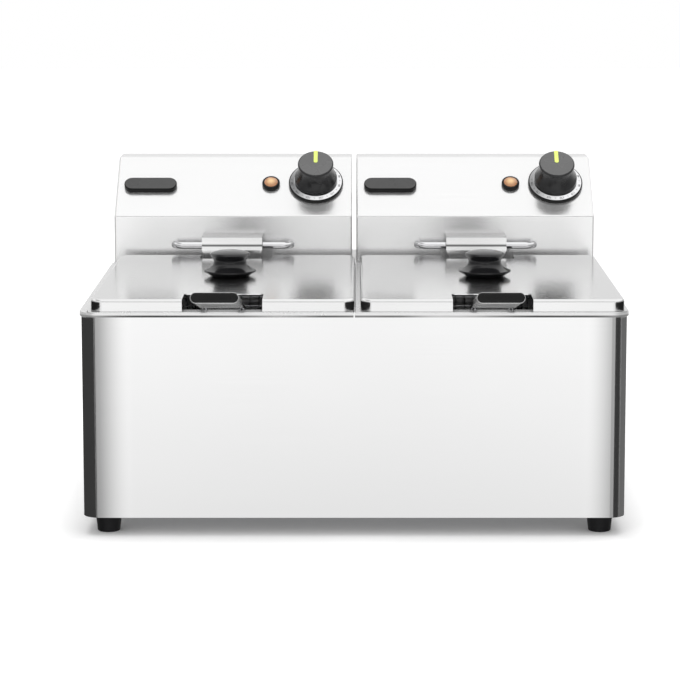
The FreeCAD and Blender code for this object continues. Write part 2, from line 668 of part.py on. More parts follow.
def basket_grip(middle):
    """Flat moulded grip over the ends of the two handle rods."""
    straight = (GRIP_WIDTH - GRIP_THICKNESS) / 2
    thick = GRIP_THICKNESS / 2
    middle_bar = block(-straight, straight, 0, GRIP_LENGTH, -thick, thick)
    ends = [rod(Vector(side * straight, 0, 0), Vector(side * straight, GRIP_LENGTH, 0), thick)
            for side in (-1, 1)]
    grip = middle_bar.fuse(ends).removeSplitter()
    tips = [edge for edge in grip.Edges if edge.BoundBox.YMax < TOUCH]
    grip = grip.makeFillet(GRIP_END_ROUND, tips)
    sockets = []
    for side in (-1, 1):
        x = side * HANDLE_SPACING / 2
        sockets.append(rod(Vector(x, GRIP_SOLID_END, 0), Vector(x, GRIP_LENGTH, 0), FRAME_WIRE / 2))
    return placed(grip.cut(sockets), handle_place(middle))


# Control heads

def head_form(middle, inset):
    """The head's closed form, inset all round for the inside of its sheet."""
    slope = math.radians(PANEL_ANGLE)
    shift = inset * math.tan(slope / 2)
    lean = inset * math.tan((math.pi / 2 - slope) / 2)
    half = HEAD_WIDTH / 2 - inset
    x = middle - half
    end = BACK + inset * HEAD_DEPTH
    low = HEAD_BOTTOM - inset * HEAD_DEPTH
    corners = [Vector(x, HEAD_FRONT + inset, low), Vector(x, HEAD_FRONT + inset, HEAD_BEND_Z - lean),
               Vector(x, HEAD_FRONT + HEAD_PANEL_SETBACK + shift, HEAD_TOP - inset),
               Vector(x, end, HEAD_TOP - inset), Vector(x, end, low)]
    bend = HEAD_BEND_ROUND - inset
    outline = rounded_wire(corners, [0, bend, bend, 0, 0], True)
    form = Part.Face(outline).extrude(Vector(2 * half, 0, 0))
    sides = [edge for edge in form.Edges
             if edge.BoundBox.XLength < TOUCH and edge.BoundBox.YMin < BACK - TOUCH
             and edge.BoundBox.ZMax > low + TOUCH]
    return form.makeFillet(HEAD_SIDE_ROUND - inset / 2, sides)


def cover_screw_places(middle):
    """The four places on the back where the cover is screwed to the housing."""
    reach = HEAD_WIDTH / 2 - SHEET - COVER_SCREW_TAB / 2
    levels = (HEAD_BOTTOM + COVER_SCREW_RAISE, HEAD_TOP - COVER_SCREW_DROP)
    return [Vector(middle + side * reach, BACK_PLATE_OUT, level) for side in (-1, 1) for level in levels]


def leg_places(middle):
    """Where the two element legs leave the head, at its face."""
    z = DECK_TOP + ELEMENT_LEG_RAISE
    return [Vector(middle + side * ELEMENT_LEG_SPACING / 2, HEAD_FRONT, z) for side in (-1, 1)]


def head_housing(middle):
    """Bent sheet with face, sloped panel, top and cheeks, open below and behind."""
    shell = head_form(middle, 0).cut(head_form(middle, SHEET))
    tab = COVER_SCREW_TAB / 2
    tabs = []
    for place in cover_screw_places(middle):
        tabs.append(block(place.x - tab, place.x + tab, BACK_PLATE_IN - SHEET, BACK_PLATE_IN,
                          place.z - tab, place.z + tab))
    shell = shell.fuse(tabs)
    holes = []
    for place in cover_screw_places(middle):
        holes.append(rod(place, place - Vector(0, COVER_SCREW_LENGTH, 0), COVER_SCREW_RADIUS))
    through = Vector(0, 2 * SHEET, 0)
    for place in leg_places(middle):
        holes.append(rod(place - through, place + through, ELEMENT_DIAMETER / 2 + HOLE_GAP))
    capillary = Vector(middle, HEAD_FRONT, DECK_TOP + ELEMENT_LEG_RAISE)
    holes.append(rod(capillary - through, capillary + through, CAPILLARY_DIAMETER / 2 + HOLE_GAP))
    for side in (-1, 1):
        end = Vector(middle + side * (RAIL_WIDTH - RAIL_WIRE) / 2, HEAD_FRONT, DECK_TOP + RAIL_RAISE)
        holes.append(rod(end - through, end + through, RAIL_WIRE / 2 + WELD_GAP))
    for offset, up, radius in ((DIAL_OFFSET_X, DIAL_UP, BUSH_RADIUS + HOLE_GAP),
                               (PILOT_OFFSET_X, PILOT_UP, PILOT_BARREL_RADIUS + HOLE_GAP)):
        drill = Part.makeCylinder(radius, 4 * SHEET, Vector(0, 0, -2 * SHEET))
        holes.append(placed(drill, panel_at(middle, offset, up)))
    return shell.cut(holes).removeSplitter()


def gland_place(middle):
    """Where the cable gland goes through the back plate."""
    return Vector(middle + GLAND_OFFSET_X, BACK_PLATE_OUT, HEAD_BOTTOM + GLAND_RAISE)


def button_place(middle):
    """Where the reset button comes through the back plate."""
    return Vector(middle + CUTOUT_OFFSET_X, BACK_PLATE_OUT, HEAD_BOTTOM + CUTOUT_RAISE)


def head_back_cover(middle):
    """Folded back and floor of the head, with vents and two locating tabs."""
    half = HEAD_WIDTH / 2
    floor = block(middle - half, middle + half, HEAD_FRONT, BACK_PLATE_OUT, DECK_TOP, HEAD_BOTTOM)
    edge = half - SHEET - SLIDE_GAP
    back = block(middle - edge, middle + edge, BACK_PLATE_IN, BACK_PLATE_OUT, HEAD_BOTTOM,
                 HEAD_TOP - SHEET - SLIDE_GAP)
    tabs = [tab for tab in locating_slots(0) if abs(tab.CenterOfMass.x - middle) < half]
    cuts = []
    for index in range(VENT_COUNT):
        x = middle + (index - (VENT_COUNT - 1) / 2) * VENT_PITCH
        low = HEAD_BOTTOM + VENT_RAISE
        cuts.append(block(x - VENT_WIDTH / 2, x + VENT_WIDTH / 2, BACK_PLATE_IN, BACK_PLATE_OUT,
                          low, low + VENT_LENGTH))
    inward = Vector(0, -2 * SHEET, 0)
    for place in cover_screw_places(middle):
        cuts.append(rod(place, place + inward, COVER_SCREW_RADIUS + HOLE_GAP))
    place = gland_place(middle)
    cuts.append(rod(place, place + inward, GLAND_BODY_RADIUS + HOLE_GAP))
    place = button_place(middle)
    cuts.append(rod(place, place + inward, BUTTON_RADIUS + REST_GAP))
    return floor.fuse([back] + tabs).cut(cuts).removeSplitter()


def head_screws(middle):
    """Four pan-head screws that hold the back cover."""
    screw = turned(section([(0, -COVER_SCREW_LENGTH), (COVER_SCREW_RADIUS, -COVER_SCREW_LENGTH),
                            (COVER_SCREW_RADIUS, 0), (COVER_SCREW_HEAD_RADIUS, 0),
                            (COVER_SCREW_HEAD_RADIUS, COVER_SCREW_HEAD), (0, COVER_SCREW_HEAD)]))
    screw = screw.makeFillet(COVER_SCREW_HEAD / 2, level_edges(screw, COVER_SCREW_HEAD))
    return Part.makeCompound([placed(screw, backward_at(*place)) for place in cover_screw_places(middle)])


def basket_rail(middle):
    """Bent bar on the head's face."""
    half = (RAIL_WIDTH - RAIL_WIRE) / 2
    y = HEAD_FRONT - RAIL_STANDOFF
    z = DECK_TOP + RAIL_RAISE
    tail = HEAD_FRONT + RAIL_TAIL
    run = [Vector(middle - half, tail, z), Vector(middle - half, y, z), Vector(middle + half, y, z),
           Vector(middle + half, tail, z)]
    return bent_rod(run, RAIL_WIRE, RAIL_BEND)


def element_guard(middle):
    """Bent plate that carries over the rail and drops in front of the element legs."""
    top = DECK_TOP + GUARD_RAISE
    nose = HEAD_FRONT - GUARD_TOP_REACH
    strap = HEAD_FRONT - GUARD_STRAP_REACH
    knee = top - GUARD_FACE_DROP
    x = middle - GUARD_TOP_WIDTH / 2
    outside = [Vector(x, HEAD_FRONT, top), Vector(x, nose, top), Vector(x, strap, knee),
               Vector(x, strap, top - GUARD_STRAP_DROP)]
    inside = [Vector(x, HEAD_FRONT, top - SHEET), Vector(x, nose + SHEET, top - SHEET),
              Vector(x, strap + SHEET, knee), Vector(x, strap + SHEET, top - GUARD_STRAP_DROP)]
    bend = GUARD_BEND_ROUND
    rounds = [0, bend, bend, 0, 0, bend, bend - SHEET, 0]
    outline = rounded_wire(outside + inside[::-1], rounds, True)
    plate = Part.Face(outline).extrude(Vector(GUARD_TOP_WIDTH, 0, 0))
    trims = []
    for side in (-1, 1):
        wide = Vector(middle + side * GUARD_TOP_WIDTH / 2, strap - SHEET, knee)
        slim = Vector(middle + side * GUARD_STRAP_WIDTH / 2, strap - SHEET, DECK_TOP + LID_HEIGHT)
        foot = Vector(slim.x, slim.y, top - GUARD_STRAP_DROP - SHEET)
        out = Vector(wide.x + side * SHEET, slim.y, foot.z)
        out_top = Vector(out.x, out.y, wide.z)
        face = Part.Face(Part.makePolygon([wide, slim, foot, out, out_top, wide]))
        trims.append(face.extrude(Vector(0, 4 * SHEET, 0)))
    return plate.cut(trims)


def heating_element(middle):
    """Sheathed tube: two legs down the rear wall and a folded loop over the tank floor."""
    leg_y = HEAD_FRONT - ELEMENT_LEG_REACH
    leg_z = DECK_TOP + ELEMENT_LEG_RAISE
    rear_y = leg_y - ELEMENT_REAR_RUN
    front_y = TANK_FRONT + ELEMENT_FRONT_GAP
    fold_y = front_y + ELEMENT_FOLD_DEPTH
    leg, wide, fold = ELEMENT_LEG_SPACING / 2, ELEMENT_LOOP_WIDTH / 2, ELEMENT_FOLD_WIDTH / 2
    z = TANK_BOTTOM + ELEMENT_RAISE
    half = [Vector(leg, HEAD_FRONT + ELEMENT_TAIL, leg_z), Vector(leg, leg_y, leg_z), Vector(leg, leg_y, z),
            Vector(leg, rear_y, z), Vector(wide, rear_y, z), Vector(wide, front_y, z),
            Vector(fold, front_y, z), Vector(fold, fold_y, z)]
    across = [Vector(-point.x, point.y, point.z) for point in half[::-1]]
    run = [Vector(middle, 0, 0) + point for point in half + across]
    return bent_rod(run, ELEMENT_DIAMETER, ELEMENT_LEG_BEND)


def thermostat_bulb(middle):
    """Sensing bulb behind the guard, on the fine tube that leads up into the head."""
    y = HEAD_FRONT - ELEMENT_LEG_REACH
    z = DECK_TOP + ELEMENT_LEG_RAISE
    bulb = rod(Vector(middle, y, BULB_TOP - BULB_LENGTH), Vector(middle, y, BULB_TOP), BULB_DIAMETER / 2)
    ends = level_edges(bulb, BULB_TOP) + level_edges(bulb, BULB_TOP - BULB_LENGTH)
    bulb = bulb.makeFillet(BULB_DIAMETER / 4, ends)
    line = [Vector(middle, y, BULB_TOP - BULB_DIAMETER), Vector(middle, y, z),
            Vector(middle, HEAD_FRONT + ELEMENT_TAIL, z)]
    return bulb.fuse(bent_rod(line, CAPILLARY_DIAMETER, CAPILLARY_BEND))


def thermostat(middle):
    """Switch body behind the panel, with the bush that its spindle turns in."""
    half = THERMOSTAT_WIDTH / 2
    body = block(-half, half, -THERMOSTAT_LENGTH / 2, THERMOSTAT_LENGTH / 2,
                 -SHEET - THERMOSTAT_DEPTH, -SHEET)
    bush = Part.makeCylinder(BUSH_RADIUS, SHEET + DIAL_BASE_HEIGHT, Vector(0, 0, -SHEET))
    bore = Part.makeCylinder(SPINDLE_RADIUS + RUNNING_GAP, SPINDLE_TAIL + SHEET + DIAL_BASE_HEIGHT,
                             Vector(0, 0, -SPINDLE_TAIL - SHEET))
    return placed(body.fuse(bush).cut(bore), panel_at(middle, DIAL_OFFSET_X, DIAL_UP))


def knob_seat():
    """Height above the panel where the control knob starts."""
    return DIAL_BASE_HEIGHT + DIAL_SCALE_HEIGHT + KNOB_LIFT


def thermostat_spindle(middle):
    """Spindle from the switch body up into the knob."""
    low = -SPINDLE_TAIL
    spindle = Part.makeCylinder(SPINDLE_RADIUS, knob_seat() + KNOB_BORE_DEPTH - low, Vector(0, 0, low))
    return placed(spindle, panel_at(middle, DIAL_OFFSET_X, DIAL_UP))


def dial_bezel(middle):
    """Black base disc of the dial."""
    disc = Part.makeCylinder(DIAL_BASE_RADIUS, DIAL_BASE_HEIGHT)
    disc = disc.makeFillet(DIAL_BASE_HEIGHT / 5, level_edges(disc, DIAL_BASE_HEIGHT))
    hole = Part.makeCylinder(BUSH_RADIUS + HOLE_GAP, DIAL_BASE_HEIGHT)
    return placed(disc.cut(hole), panel_at(middle, DIAL_OFFSET_X, DIAL_UP))


def dial_scale(middle):
    """Bright ring with a sloped rim for the scale, on top of the base disc."""
    low = DIAL_BASE_HEIGHT
    high = low + DIAL_SCALE_HEIGHT
    hole = BUSH_RADIUS + HOLE_GAP
    ring = turned(section([(hole, low), (DIAL_SCALE_RADIUS, low), (DIAL_SCALE_RADIUS, low + DIAL_SCALE_EDGE),
                           (KNOB_SKIRT_RADIUS + DIAL_SCALE_FLAT, high), (hole, high)]))
    return placed(ring, panel_at(middle, DIAL_OFFSET_X, DIAL_UP))


def pointer_block(proud):
    """The pointer's bar on the knob's cap, from a round end at its middle to its upper edge."""
    low = knob_seat() + KNOB_HEIGHT - POINTER_DEPTH
    high = knob_seat() + KNOB_HEIGHT + proud
    half = POINTER_WIDTH / 2
    start = KNOB_CAP_RADIUS - POINTER_LENGTH + half
    bar = block(-half, half, start, KNOB_CAP_RADIUS, low, high)
    return bar.fuse(rod(Vector(0, start, low), Vector(0, start, high), half)).removeSplitter()


def cap_cylinder(proud):
    """The round limit of the pointer, just inside the cap's edge."""
    return Part.makeCylinder(KNOB_CAP_RADIUS - POINTER_END_GAP, knob_seat() + KNOB_HEIGHT + proud)


def control_knob(middle):
    """Moulded knob with a flared skirt, slightly hollow sides and a flat cap."""
    low = knob_seat()
    top = low + KNOB_HEIGHT
    foot = Vector(KNOB_SKIRT_RADIUS, 0, low)
    skirt = Vector(KNOB_SKIRT_RADIUS, 0, low + KNOB_SKIRT_HEIGHT)
    cap = Vector(KNOB_CAP_RADIUS, 0, top - KNOB_EDGE_ROUND)
    corner = Vector(KNOB_CAP_RADIUS - KNOB_EDGE_ROUND * (1 - math.sqrt(0.5)), 0,
                    top - KNOB_EDGE_ROUND * (1 - math.sqrt(0.5)))
    cap_top = Vector(KNOB_CAP_RADIUS - KNOB_EDGE_ROUND, 0, top)
    waist = Vector(KNOB_WAIST_RADIUS, 0, low + KNOB_HEIGHT / 2)
    side = Part.BSplineCurve()
    side.interpolate([skirt, waist, cap])
    bore = Vector(SPINDLE_RADIUS, 0, low)
    bore_top = Vector(SPINDLE_RADIUS, 0, low + KNOB_BORE_DEPTH)
    crown = Vector(0, 0, low + KNOB_BORE_DEPTH)
    middle_top = Vector(0, 0, top)
    edges = [Part.LineSegment(bore, foot).toShape(), Part.LineSegment(foot, skirt).toShape(), side.toShape(),
             Part.Arc(cap, corner, cap_top).toShape(), Part.LineSegment(cap_top, middle_top).toShape(),
             Part.LineSegment(middle_top, crown).toShape(), Part.LineSegment(crown, bore_top).toShape(),
             Part.LineSegment(bore_top, bore).toShape()]
    recess = pointer_block(0).common(cap_cylinder(0))
    return placed(turned(edges).cut(recess), panel_at(middle, DIAL_OFFSET_X, DIAL_UP))


def knob_pointer(middle):
    """Bright bar let into the knob's cap."""
    bar = pointer_block(POINTER_PROUD).common(cap_cylinder(POINTER_PROUD))
    return placed(bar, panel_at(middle, DIAL_OFFSET_X, DIAL_UP))


def pilot_bezel(middle):
    """Black collar and barrel of the pilot lamp."""
    collar = Part.makeCylinder(PILOT_RADIUS, PILOT_HEIGHT)
    collar = collar.makeFillet(PILOT_EDGE_ROUND, level_edges(collar, PILOT_HEIGHT))
    barrel = Part.makeCylinder(PILOT_BARREL_RADIUS, PILOT_BARREL_LENGTH, Vector(0, 0, -PILOT_BARREL_LENGTH))
    well = Part.makeCylinder(PILOT_LENS_RADIUS, PILOT_HEIGHT, Vector(0, 0, PILOT_LENS_SEAT))
    return placed(collar.fuse(barrel).cut(well), panel_at(middle, PILOT_OFFSET_X, PILOT_UP))


def pilot_lens(middle):
    """Domed lens in the collar."""
    low = PILOT_LENS_SEAT
    edge = Vector(PILOT_LENS_RADIUS, 0, PILOT_HEIGHT)
    crown = Vector(0, 0, PILOT_HEIGHT + PILOT_LENS_DOME)
    swell = Part.BSplineCurve()
    leans = [Vector(-1, 0, PILOT_LENS_LEAN), Vector(-1, 0, 0)]
    swell.interpolate([edge, crown], Tangents=leans, TangentFlags=[True, True])
    foot = Vector(PILOT_LENS_RADIUS, 0, low)
    centre = Vector(0, 0, low)
    edges = [Part.LineSegment(centre, foot).toShape(), Part.LineSegment(foot, edge).toShape(),
             swell.toShape(), Part.LineSegment(crown, centre).toShape()]
    return placed(turned(edges), panel_at(middle, PILOT_OFFSET_X, PILOT_UP))


def badge_plate(middle):
    """Bare black plate with round ends."""
    half = BADGE_WIDTH / 2
    plate = rounded_prism(-half, half, -BADGE_HEIGHT / 2, BADGE_HEIGHT / 2, 0, BADGE_THICKNESS,
                          BADGE_HEIGHT * END_ROUND)
    plate = plate.makeFillet(BADGE_EDGE_ROUND, level_edges(plate, BADGE_THICKNESS))
    return placed(plate, panel_at(middle, BADGE_OFFSET_X, BADGE_UP))


def safety_cutout(middle):
    """Overheat switch inside the back plate, hollow for its reset button."""
    body = Part.makeCylinder(CUTOUT_RADIUS, CUTOUT_DEPTH, Vector(0, 0, -SHEET - CUTOUT_DEPTH))
    room = Part.makeCylinder(BUTTON_RADIUS + REST_GAP, BUTTON_STEM + BUTTON_TRAVEL + REST_GAP,
                             Vector(0, 0, -SHEET - BUTTON_STEM - BUTTON_TRAVEL - REST_GAP))
    return placed(body.cut(room), backward_at(*button_place(middle)))


def reset_button(middle):
    """Push button through the back plate."""
    low = -SHEET - BUTTON_STEM
    button = Part.makeCylinder(BUTTON_RADIUS, BUTTON_PROUD - low, Vector(0, 0, low))
    button = button.makeFillet(BUTTON_RADIUS / 4, level_edges(button, BUTTON_PROUD))
    return placed(button, backward_at(*button_place(middle)))


def terminal_block(middle):
    """Ceramic block on the head's floor, with a row of screw wells."""
    x = middle + TERMINAL_OFFSET_X
    rear = BACK_PLATE_IN - TERMINAL_BACK_GAP
    top = HEAD_BOTTOM + TERMINAL_HEIGHT
    body = block(x - TERMINAL_WIDTH / 2, x + TERMINAL_WIDTH / 2, rear - TERMINAL_DEPTH, rear,
                 HEAD_BOTTOM, top)
    wells = []
    for index in range(TERMINAL_COUNT):
        well_x = x + (index - (TERMINAL_COUNT - 1) / 2) * TERMINAL_WIDTH / TERMINAL_COUNT
        place = Vector(well_x, rear - TERMINAL_DEPTH / 2, top)
        wells.append(rod(place - Vector(0, 0, TERMINAL_WELL_DEPTH), place, TERMINAL_WELL_RADIUS))
    return body.cut(wells)


def cable_gland(middle):
    """Cable entry through the back plate, with a tapered nose and a through bore."""
    reach = GLAND_REACH + BACK_PLATE_INSET
    body = turned(section([(GLAND_BORE_RADIUS, -GLAND_BODY_LENGTH), (GLAND_BODY_RADIUS, -GLAND_BODY_LENGTH),
                           (GLAND_BODY_RADIUS, 0), (GLAND_RADIUS, 0), (GLAND_RADIUS, GLAND_COLLAR),
                           (GLAND_NOSE_RADIUS, reach), (GLAND_BORE_RADIUS, reach)]))
    return placed(body, backward_at(*gland_place(middle)))


HEAD_PIECES = (head_housing, head_back_cover, head_screws, basket_rail, element_guard, heating_element,
               thermostat_bulb, thermostat, thermostat_spindle, dial_bezel, dial_scale, control_knob,
               knob_pointer, pilot_bezel, pilot_lens, badge_plate, safety_cutout, reset_button,
               terminal_block, cable_gland)
LOOSE_PIECES = (lid_cover, lid_knob, lid_knob_screw, basket_mesh, basket_frame, basket_grip)

for maker in (casing_shell, base_plate, rear_deck, rubber_feet, foot_screws, left_tank, right_tank):
    save(maker.__name__, maker())

for name, side in (("left", -1), ("right", 1)):
    for maker in HEAD_PIECES:
        save(name + "_" + maker.__name__, maker(side * HEAD_MIDDLE_X))
    for maker in LOOSE_PIECES:
        save(name + "_" + maker.__name__, maker(LID_SHIFT + side * (LID_GAP + LID_WIDTH) / 2))
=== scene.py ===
"""Looks of a twin counter-top deep fryer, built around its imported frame. Metres, +Z up, +Y to the back."""

import json
import logging
import math
from dataclasses import dataclass
from enum import Enum
from typing import Protocol

import bmesh
import bpy
from mathutils import Matrix, Vector


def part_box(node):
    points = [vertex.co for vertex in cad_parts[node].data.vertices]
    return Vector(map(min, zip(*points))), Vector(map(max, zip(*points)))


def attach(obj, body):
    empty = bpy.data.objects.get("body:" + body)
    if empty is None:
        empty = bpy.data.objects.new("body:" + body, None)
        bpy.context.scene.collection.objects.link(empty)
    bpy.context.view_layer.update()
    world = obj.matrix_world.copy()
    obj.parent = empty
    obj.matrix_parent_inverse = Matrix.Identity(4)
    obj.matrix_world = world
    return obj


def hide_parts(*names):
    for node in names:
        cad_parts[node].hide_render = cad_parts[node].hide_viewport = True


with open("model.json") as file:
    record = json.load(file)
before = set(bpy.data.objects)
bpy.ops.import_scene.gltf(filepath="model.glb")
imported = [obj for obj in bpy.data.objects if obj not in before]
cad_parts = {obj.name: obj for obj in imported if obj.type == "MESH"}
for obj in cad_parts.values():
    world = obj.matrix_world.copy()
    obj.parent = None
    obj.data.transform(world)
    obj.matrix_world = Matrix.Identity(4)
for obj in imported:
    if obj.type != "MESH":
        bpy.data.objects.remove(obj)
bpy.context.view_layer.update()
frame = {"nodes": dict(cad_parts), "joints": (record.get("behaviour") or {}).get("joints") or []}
LOG = logging.getLogger("fryer")
MM = 0.001
# Most of a noise node's values lie between these two.
CLOUD_LOW, CLOUD_HIGH = 0.3, 0.7
# The colour sockets of a mix node, which share their names with others.
MIX_FIRST, MIX_SECOND, MIX_RESULT = 6, 7, 2
Colour = tuple[float, float, float]
Place = tuple[float, float, float]
Socket = bpy.types.NodeSocket
ORIGIN: Place = (0.0, 0.0, 0.0)
UP = Vector((0, 0, 1))


class Side(Enum):
    """The two halves of the fryer."""

    LEFT = "left"
    RIGHT = "right"

    def node(self, name: str) -> str:
        """The name of this side's node, body or joint."""
        return f"{self.value}_{name}"


class Grain(Enum):
    """Which way a sheet was brushed: the stretch of its streaks along X, Y and Z."""

    ALONG_X = (6.0, 900.0, 900.0)
    LEVEL = (7.0, 7.0, 1100.0)
    DRAWN = (260.0, 260.0, 12.0)


@dataclass(frozen=True)
class Fade:
    """A soft change of one number with another: from low, at start, to high, at end."""

    start: float
    end: float
    low: float = 0.0
    high: float = 1.0


class Nodes:
    """A node tree, with short calls for the nodes that the finishes and the light share."""

    def __init__(self, tree: bpy.types.NodeTree) -> None:
        """Work on one tree."""
        self.tree = tree

    def add(self, kind: str, **settings: object) -> bpy.types.Node:
        """Add a node and set its options.

        Args:
            kind: the node's type.
            settings: its options by name.

        Returns:
            The new node.
        """
        node = self.tree.nodes.new(kind)
        for name, value in settings.items():
            setattr(node, name, value)
        return node

    def join(self, value: object, socket: Socket) -> None:
        """Fill an input.

        Args:
            value: another node's output, or a constant.
            socket: the input.
        """
        if isinstance(value, Socket):
            self.tree.links.new(value, socket)
        else:
            socket.default_value = value

    def wire(self, node: bpy.types.Node, **inputs: object) -> bpy.types.Node:
        """Fill a node's inputs.

        Args:
            node: the node.
            inputs: input names, with _ for a space, and what goes in.

        Returns:
            The same node.
        """
        for name, value in inputs.items():
            self.join(value, node.inputs[name.replace("_", " ")])
        return node

    def math(self, operation: str, first: object, second: object = 0.0) -> Socket:
        """One sum on two numbers.

        Args:
            operation: the sum.
            first: a node's output or a constant.
            second: another, where the sum has two.

        Returns:
            The result.
        """
        node = self.add("ShaderNodeMath", operation=operation)
        self.join(first, node.inputs[0])
        self.join(second, node.inputs[1])
        return node.outputs[0]

    def vector(self, operation: str, first: Socket, second: Place) -> bpy.types.Node:
        """One sum on two vectors.

        Args:
            operation: the sum.
            first: a node's output.
            second: a constant vector.

        Returns:
            The node, whose outputs are Vector and Value.
        """
        node = self.add("ShaderNodeVectorMath", operation=operation)
        self.join(first, node.inputs[0])
        self.join(second, node.inputs[1])
        return node

    def parts(self, vector: Socket) -> tuple[Socket, Socket, Socket]:
        """A vector's X, Y and Z."""
        return tuple(self.wire(self.add("ShaderNodeSeparateXYZ"), Vector=vector).outputs)

    def noise(self, vector: Socket, scale: float, detail: float = 3.0) -> Socket:
        """Cloudy noise between 0 and 1."""
        node = self.wire(self.add("ShaderNodeTexNoise"), Vector=vector, Scale=scale, Detail=detail)
        return node.outputs["Fac"]

    def fade(self, value: Socket, change: Fade) -> Socket:
        """A number that changes softly with another.

        Args:
            value: the number that it follows.
            change: how it changes.

        Returns:
            The changed number.
        """
        node = self.add("ShaderNodeMapRange", interpolation_type="SMOOTHSTEP")
        self.wire(node, Value=value, From_Min=change.start, From_Max=change.end, To_Min=change.low,
                  To_Max=change.high)
        return node.outputs["Result"]

    def span(self, cloud: Socket, low: float = 0.0, high: float = 1.0) -> Socket:
        """Cloudy noise spread softly over low to high."""
        return self.fade(cloud, Fade(CLOUD_LOW, CLOUD_HIGH, low, high))

    def blend(self, factor: Socket, first: object, second: object) -> Socket:
        """A colour between two.

        Args:
            factor: 0 for the first and 1 for the second.
            first: a colour, as a constant or a node's output.
            second: another.

        Returns:
            The blended colour.
        """
        node = self.add("ShaderNodeMix", data_type="RGBA")
        self.join(factor, node.inputs["Factor"])
        for colour, index in ((first, MIX_FIRST), (second, MIX_SECOND)):
            self.join(colour if isinstance(colour, Socket) else (*colour, 1.0), node.inputs[index])
        return node.outputs[MIX_RESULT]

    def greys(self, value: Socket, stops: dict[float, float]) -> Socket:
        """A grey read off a scale.

        Args:
            value: where to read, from 0 to 1.
            stops: place on the scale and grey there.

        Returns:
            The grey as a colour.
        """
        node = self.add("ShaderNodeValToRGB")
        scale = node.color_ramp.elements
        while len(scale) < len(stops):
            scale.new(0.5)
        for stop, (place, level) in zip(scale, sorted(stops.items())):
            stop.position = place
            stop.color = (*grey(level), 1.0)
        self.join(value, node.inputs["Fac"])
        return node.outputs["Color"]


class Board(Nodes):
    """A material with one principled shader."""

    def __init__(self, name: str) -> None:
        """Start the material.

        Args:
            name: the material's name.
        """
        self.material = bpy.data.materials.new(name)
        self.material.use_nodes = True
        super().__init__(self.material.node_tree)
        self.shader = self.tree.nodes["Principled BSDF"]

    def set(self, **sockets: object) -> None:
        """Set constant values on the shader's own sockets, with _ for a space."""
        self.wire(self.shader, **sockets)

    def feed(self, socket: str, value: Socket) -> None:
        """Lead a node's output into one of the shader's sockets."""
        self.tree.links.new(value, self.shader.inputs[socket])

    def place(self, scale: Place = (1.0, 1.0, 1.0), centre: Place = ORIGIN) -> Socket:
        """Object coordinates measured from a centre and stretched.

        Args:
            scale: stretch along each axis.
            centre: the point that becomes the pattern's origin.

        Returns:
            The stretched coordinates.
        """
        coords = self.add("ShaderNodeTexCoord").outputs["Object"]
        moved = self.vector("SUBTRACT", coords, centre).outputs["Vector"]
        return self.vector("MULTIPLY", moved, scale).outputs["Vector"]

    def away(self, centre: Place) -> Socket:
        """The distance from a point."""
        return self.vector("LENGTH", self.place(centre=centre), ORIGIN).outputs["Value"]

    def bump(self, height: Socket, strength: float, depth: float) -> None:
        """Raise the surface by a height pattern, with its depth in metres."""
        node = self.wire(self.add("ShaderNodeBump"), Height=height, Strength=strength, Distance=depth)
        self.feed("Normal", node.outputs["Normal"])


def grey(level: float) -> Colour:
    """A colour with equal parts."""
    return (level, level, level)


def shade(colour: Colour, share: float) -> Colour:
    """A colour made darker or lighter by a share."""
    return tuple(min(1.0, part * share) for part in colour)


class Finish(Protocol):
    """What every finish has: a name, and a material to make."""

    name: str

    def build(self) -> bpy.types.Material:
        """Make the material."""


@dataclass(frozen=True)
class SteelSheet:
    """Stainless sheet with brushed streaks and faint handling marks."""

    name: str
    colour: Colour
    roughness: float
    streak: float
    grain: Grain
    smudge: float = 0.03
    mirror: float = 1.0
    streak_depth: float = 0.04 * MM
    streak_detail: float = 4.0
    streak_light: float = 0.99
    streak_gloss: float = 0.3
    mark_scale: float = 9.0
    mark_detail: float = 2.0

    def build(self) -> bpy.types.Material:
        """Make the material.

        Returns:
            The finished material.
        """
        board = Board(self.name)
        board.set(Metallic=self.mirror)
        board.bump(self.brush(board), self.streak, self.streak_depth)
        return board.material

    @property
    def dull(self) -> float:
        """The share of its light that the sheet keeps in its streaks."""
        return self.streak_light - self.streak / 2

    def brush(self, board: Board) -> Socket:
        """Colour and gloss of the brushed surface.

        Args:
            board: the material to work on.

        Returns:
            The streaks, from 0 to 1.
        """
        streaks = board.noise(board.place(self.grain.value), 1.0, self.streak_detail)
        marks = board.noise(board.place(), self.mark_scale, self.mark_detail)
        board.feed("Base Color", self.tone(board, streaks))
        gloss = board.span(marks, self.roughness - self.smudge, self.roughness + self.smudge)
        rough = board.span(streaks, 0.0, self.streak * self.streak_gloss)
        board.feed("Roughness", board.math("ADD", gloss, rough))
        return streaks

    def tone(self, board: Board, streaks: Socket) -> Socket:
        """The sheet's colour, a little darker in its streaks."""
        return board.blend(board.span(streaks), shade(self.colour, self.dull), self.colour)


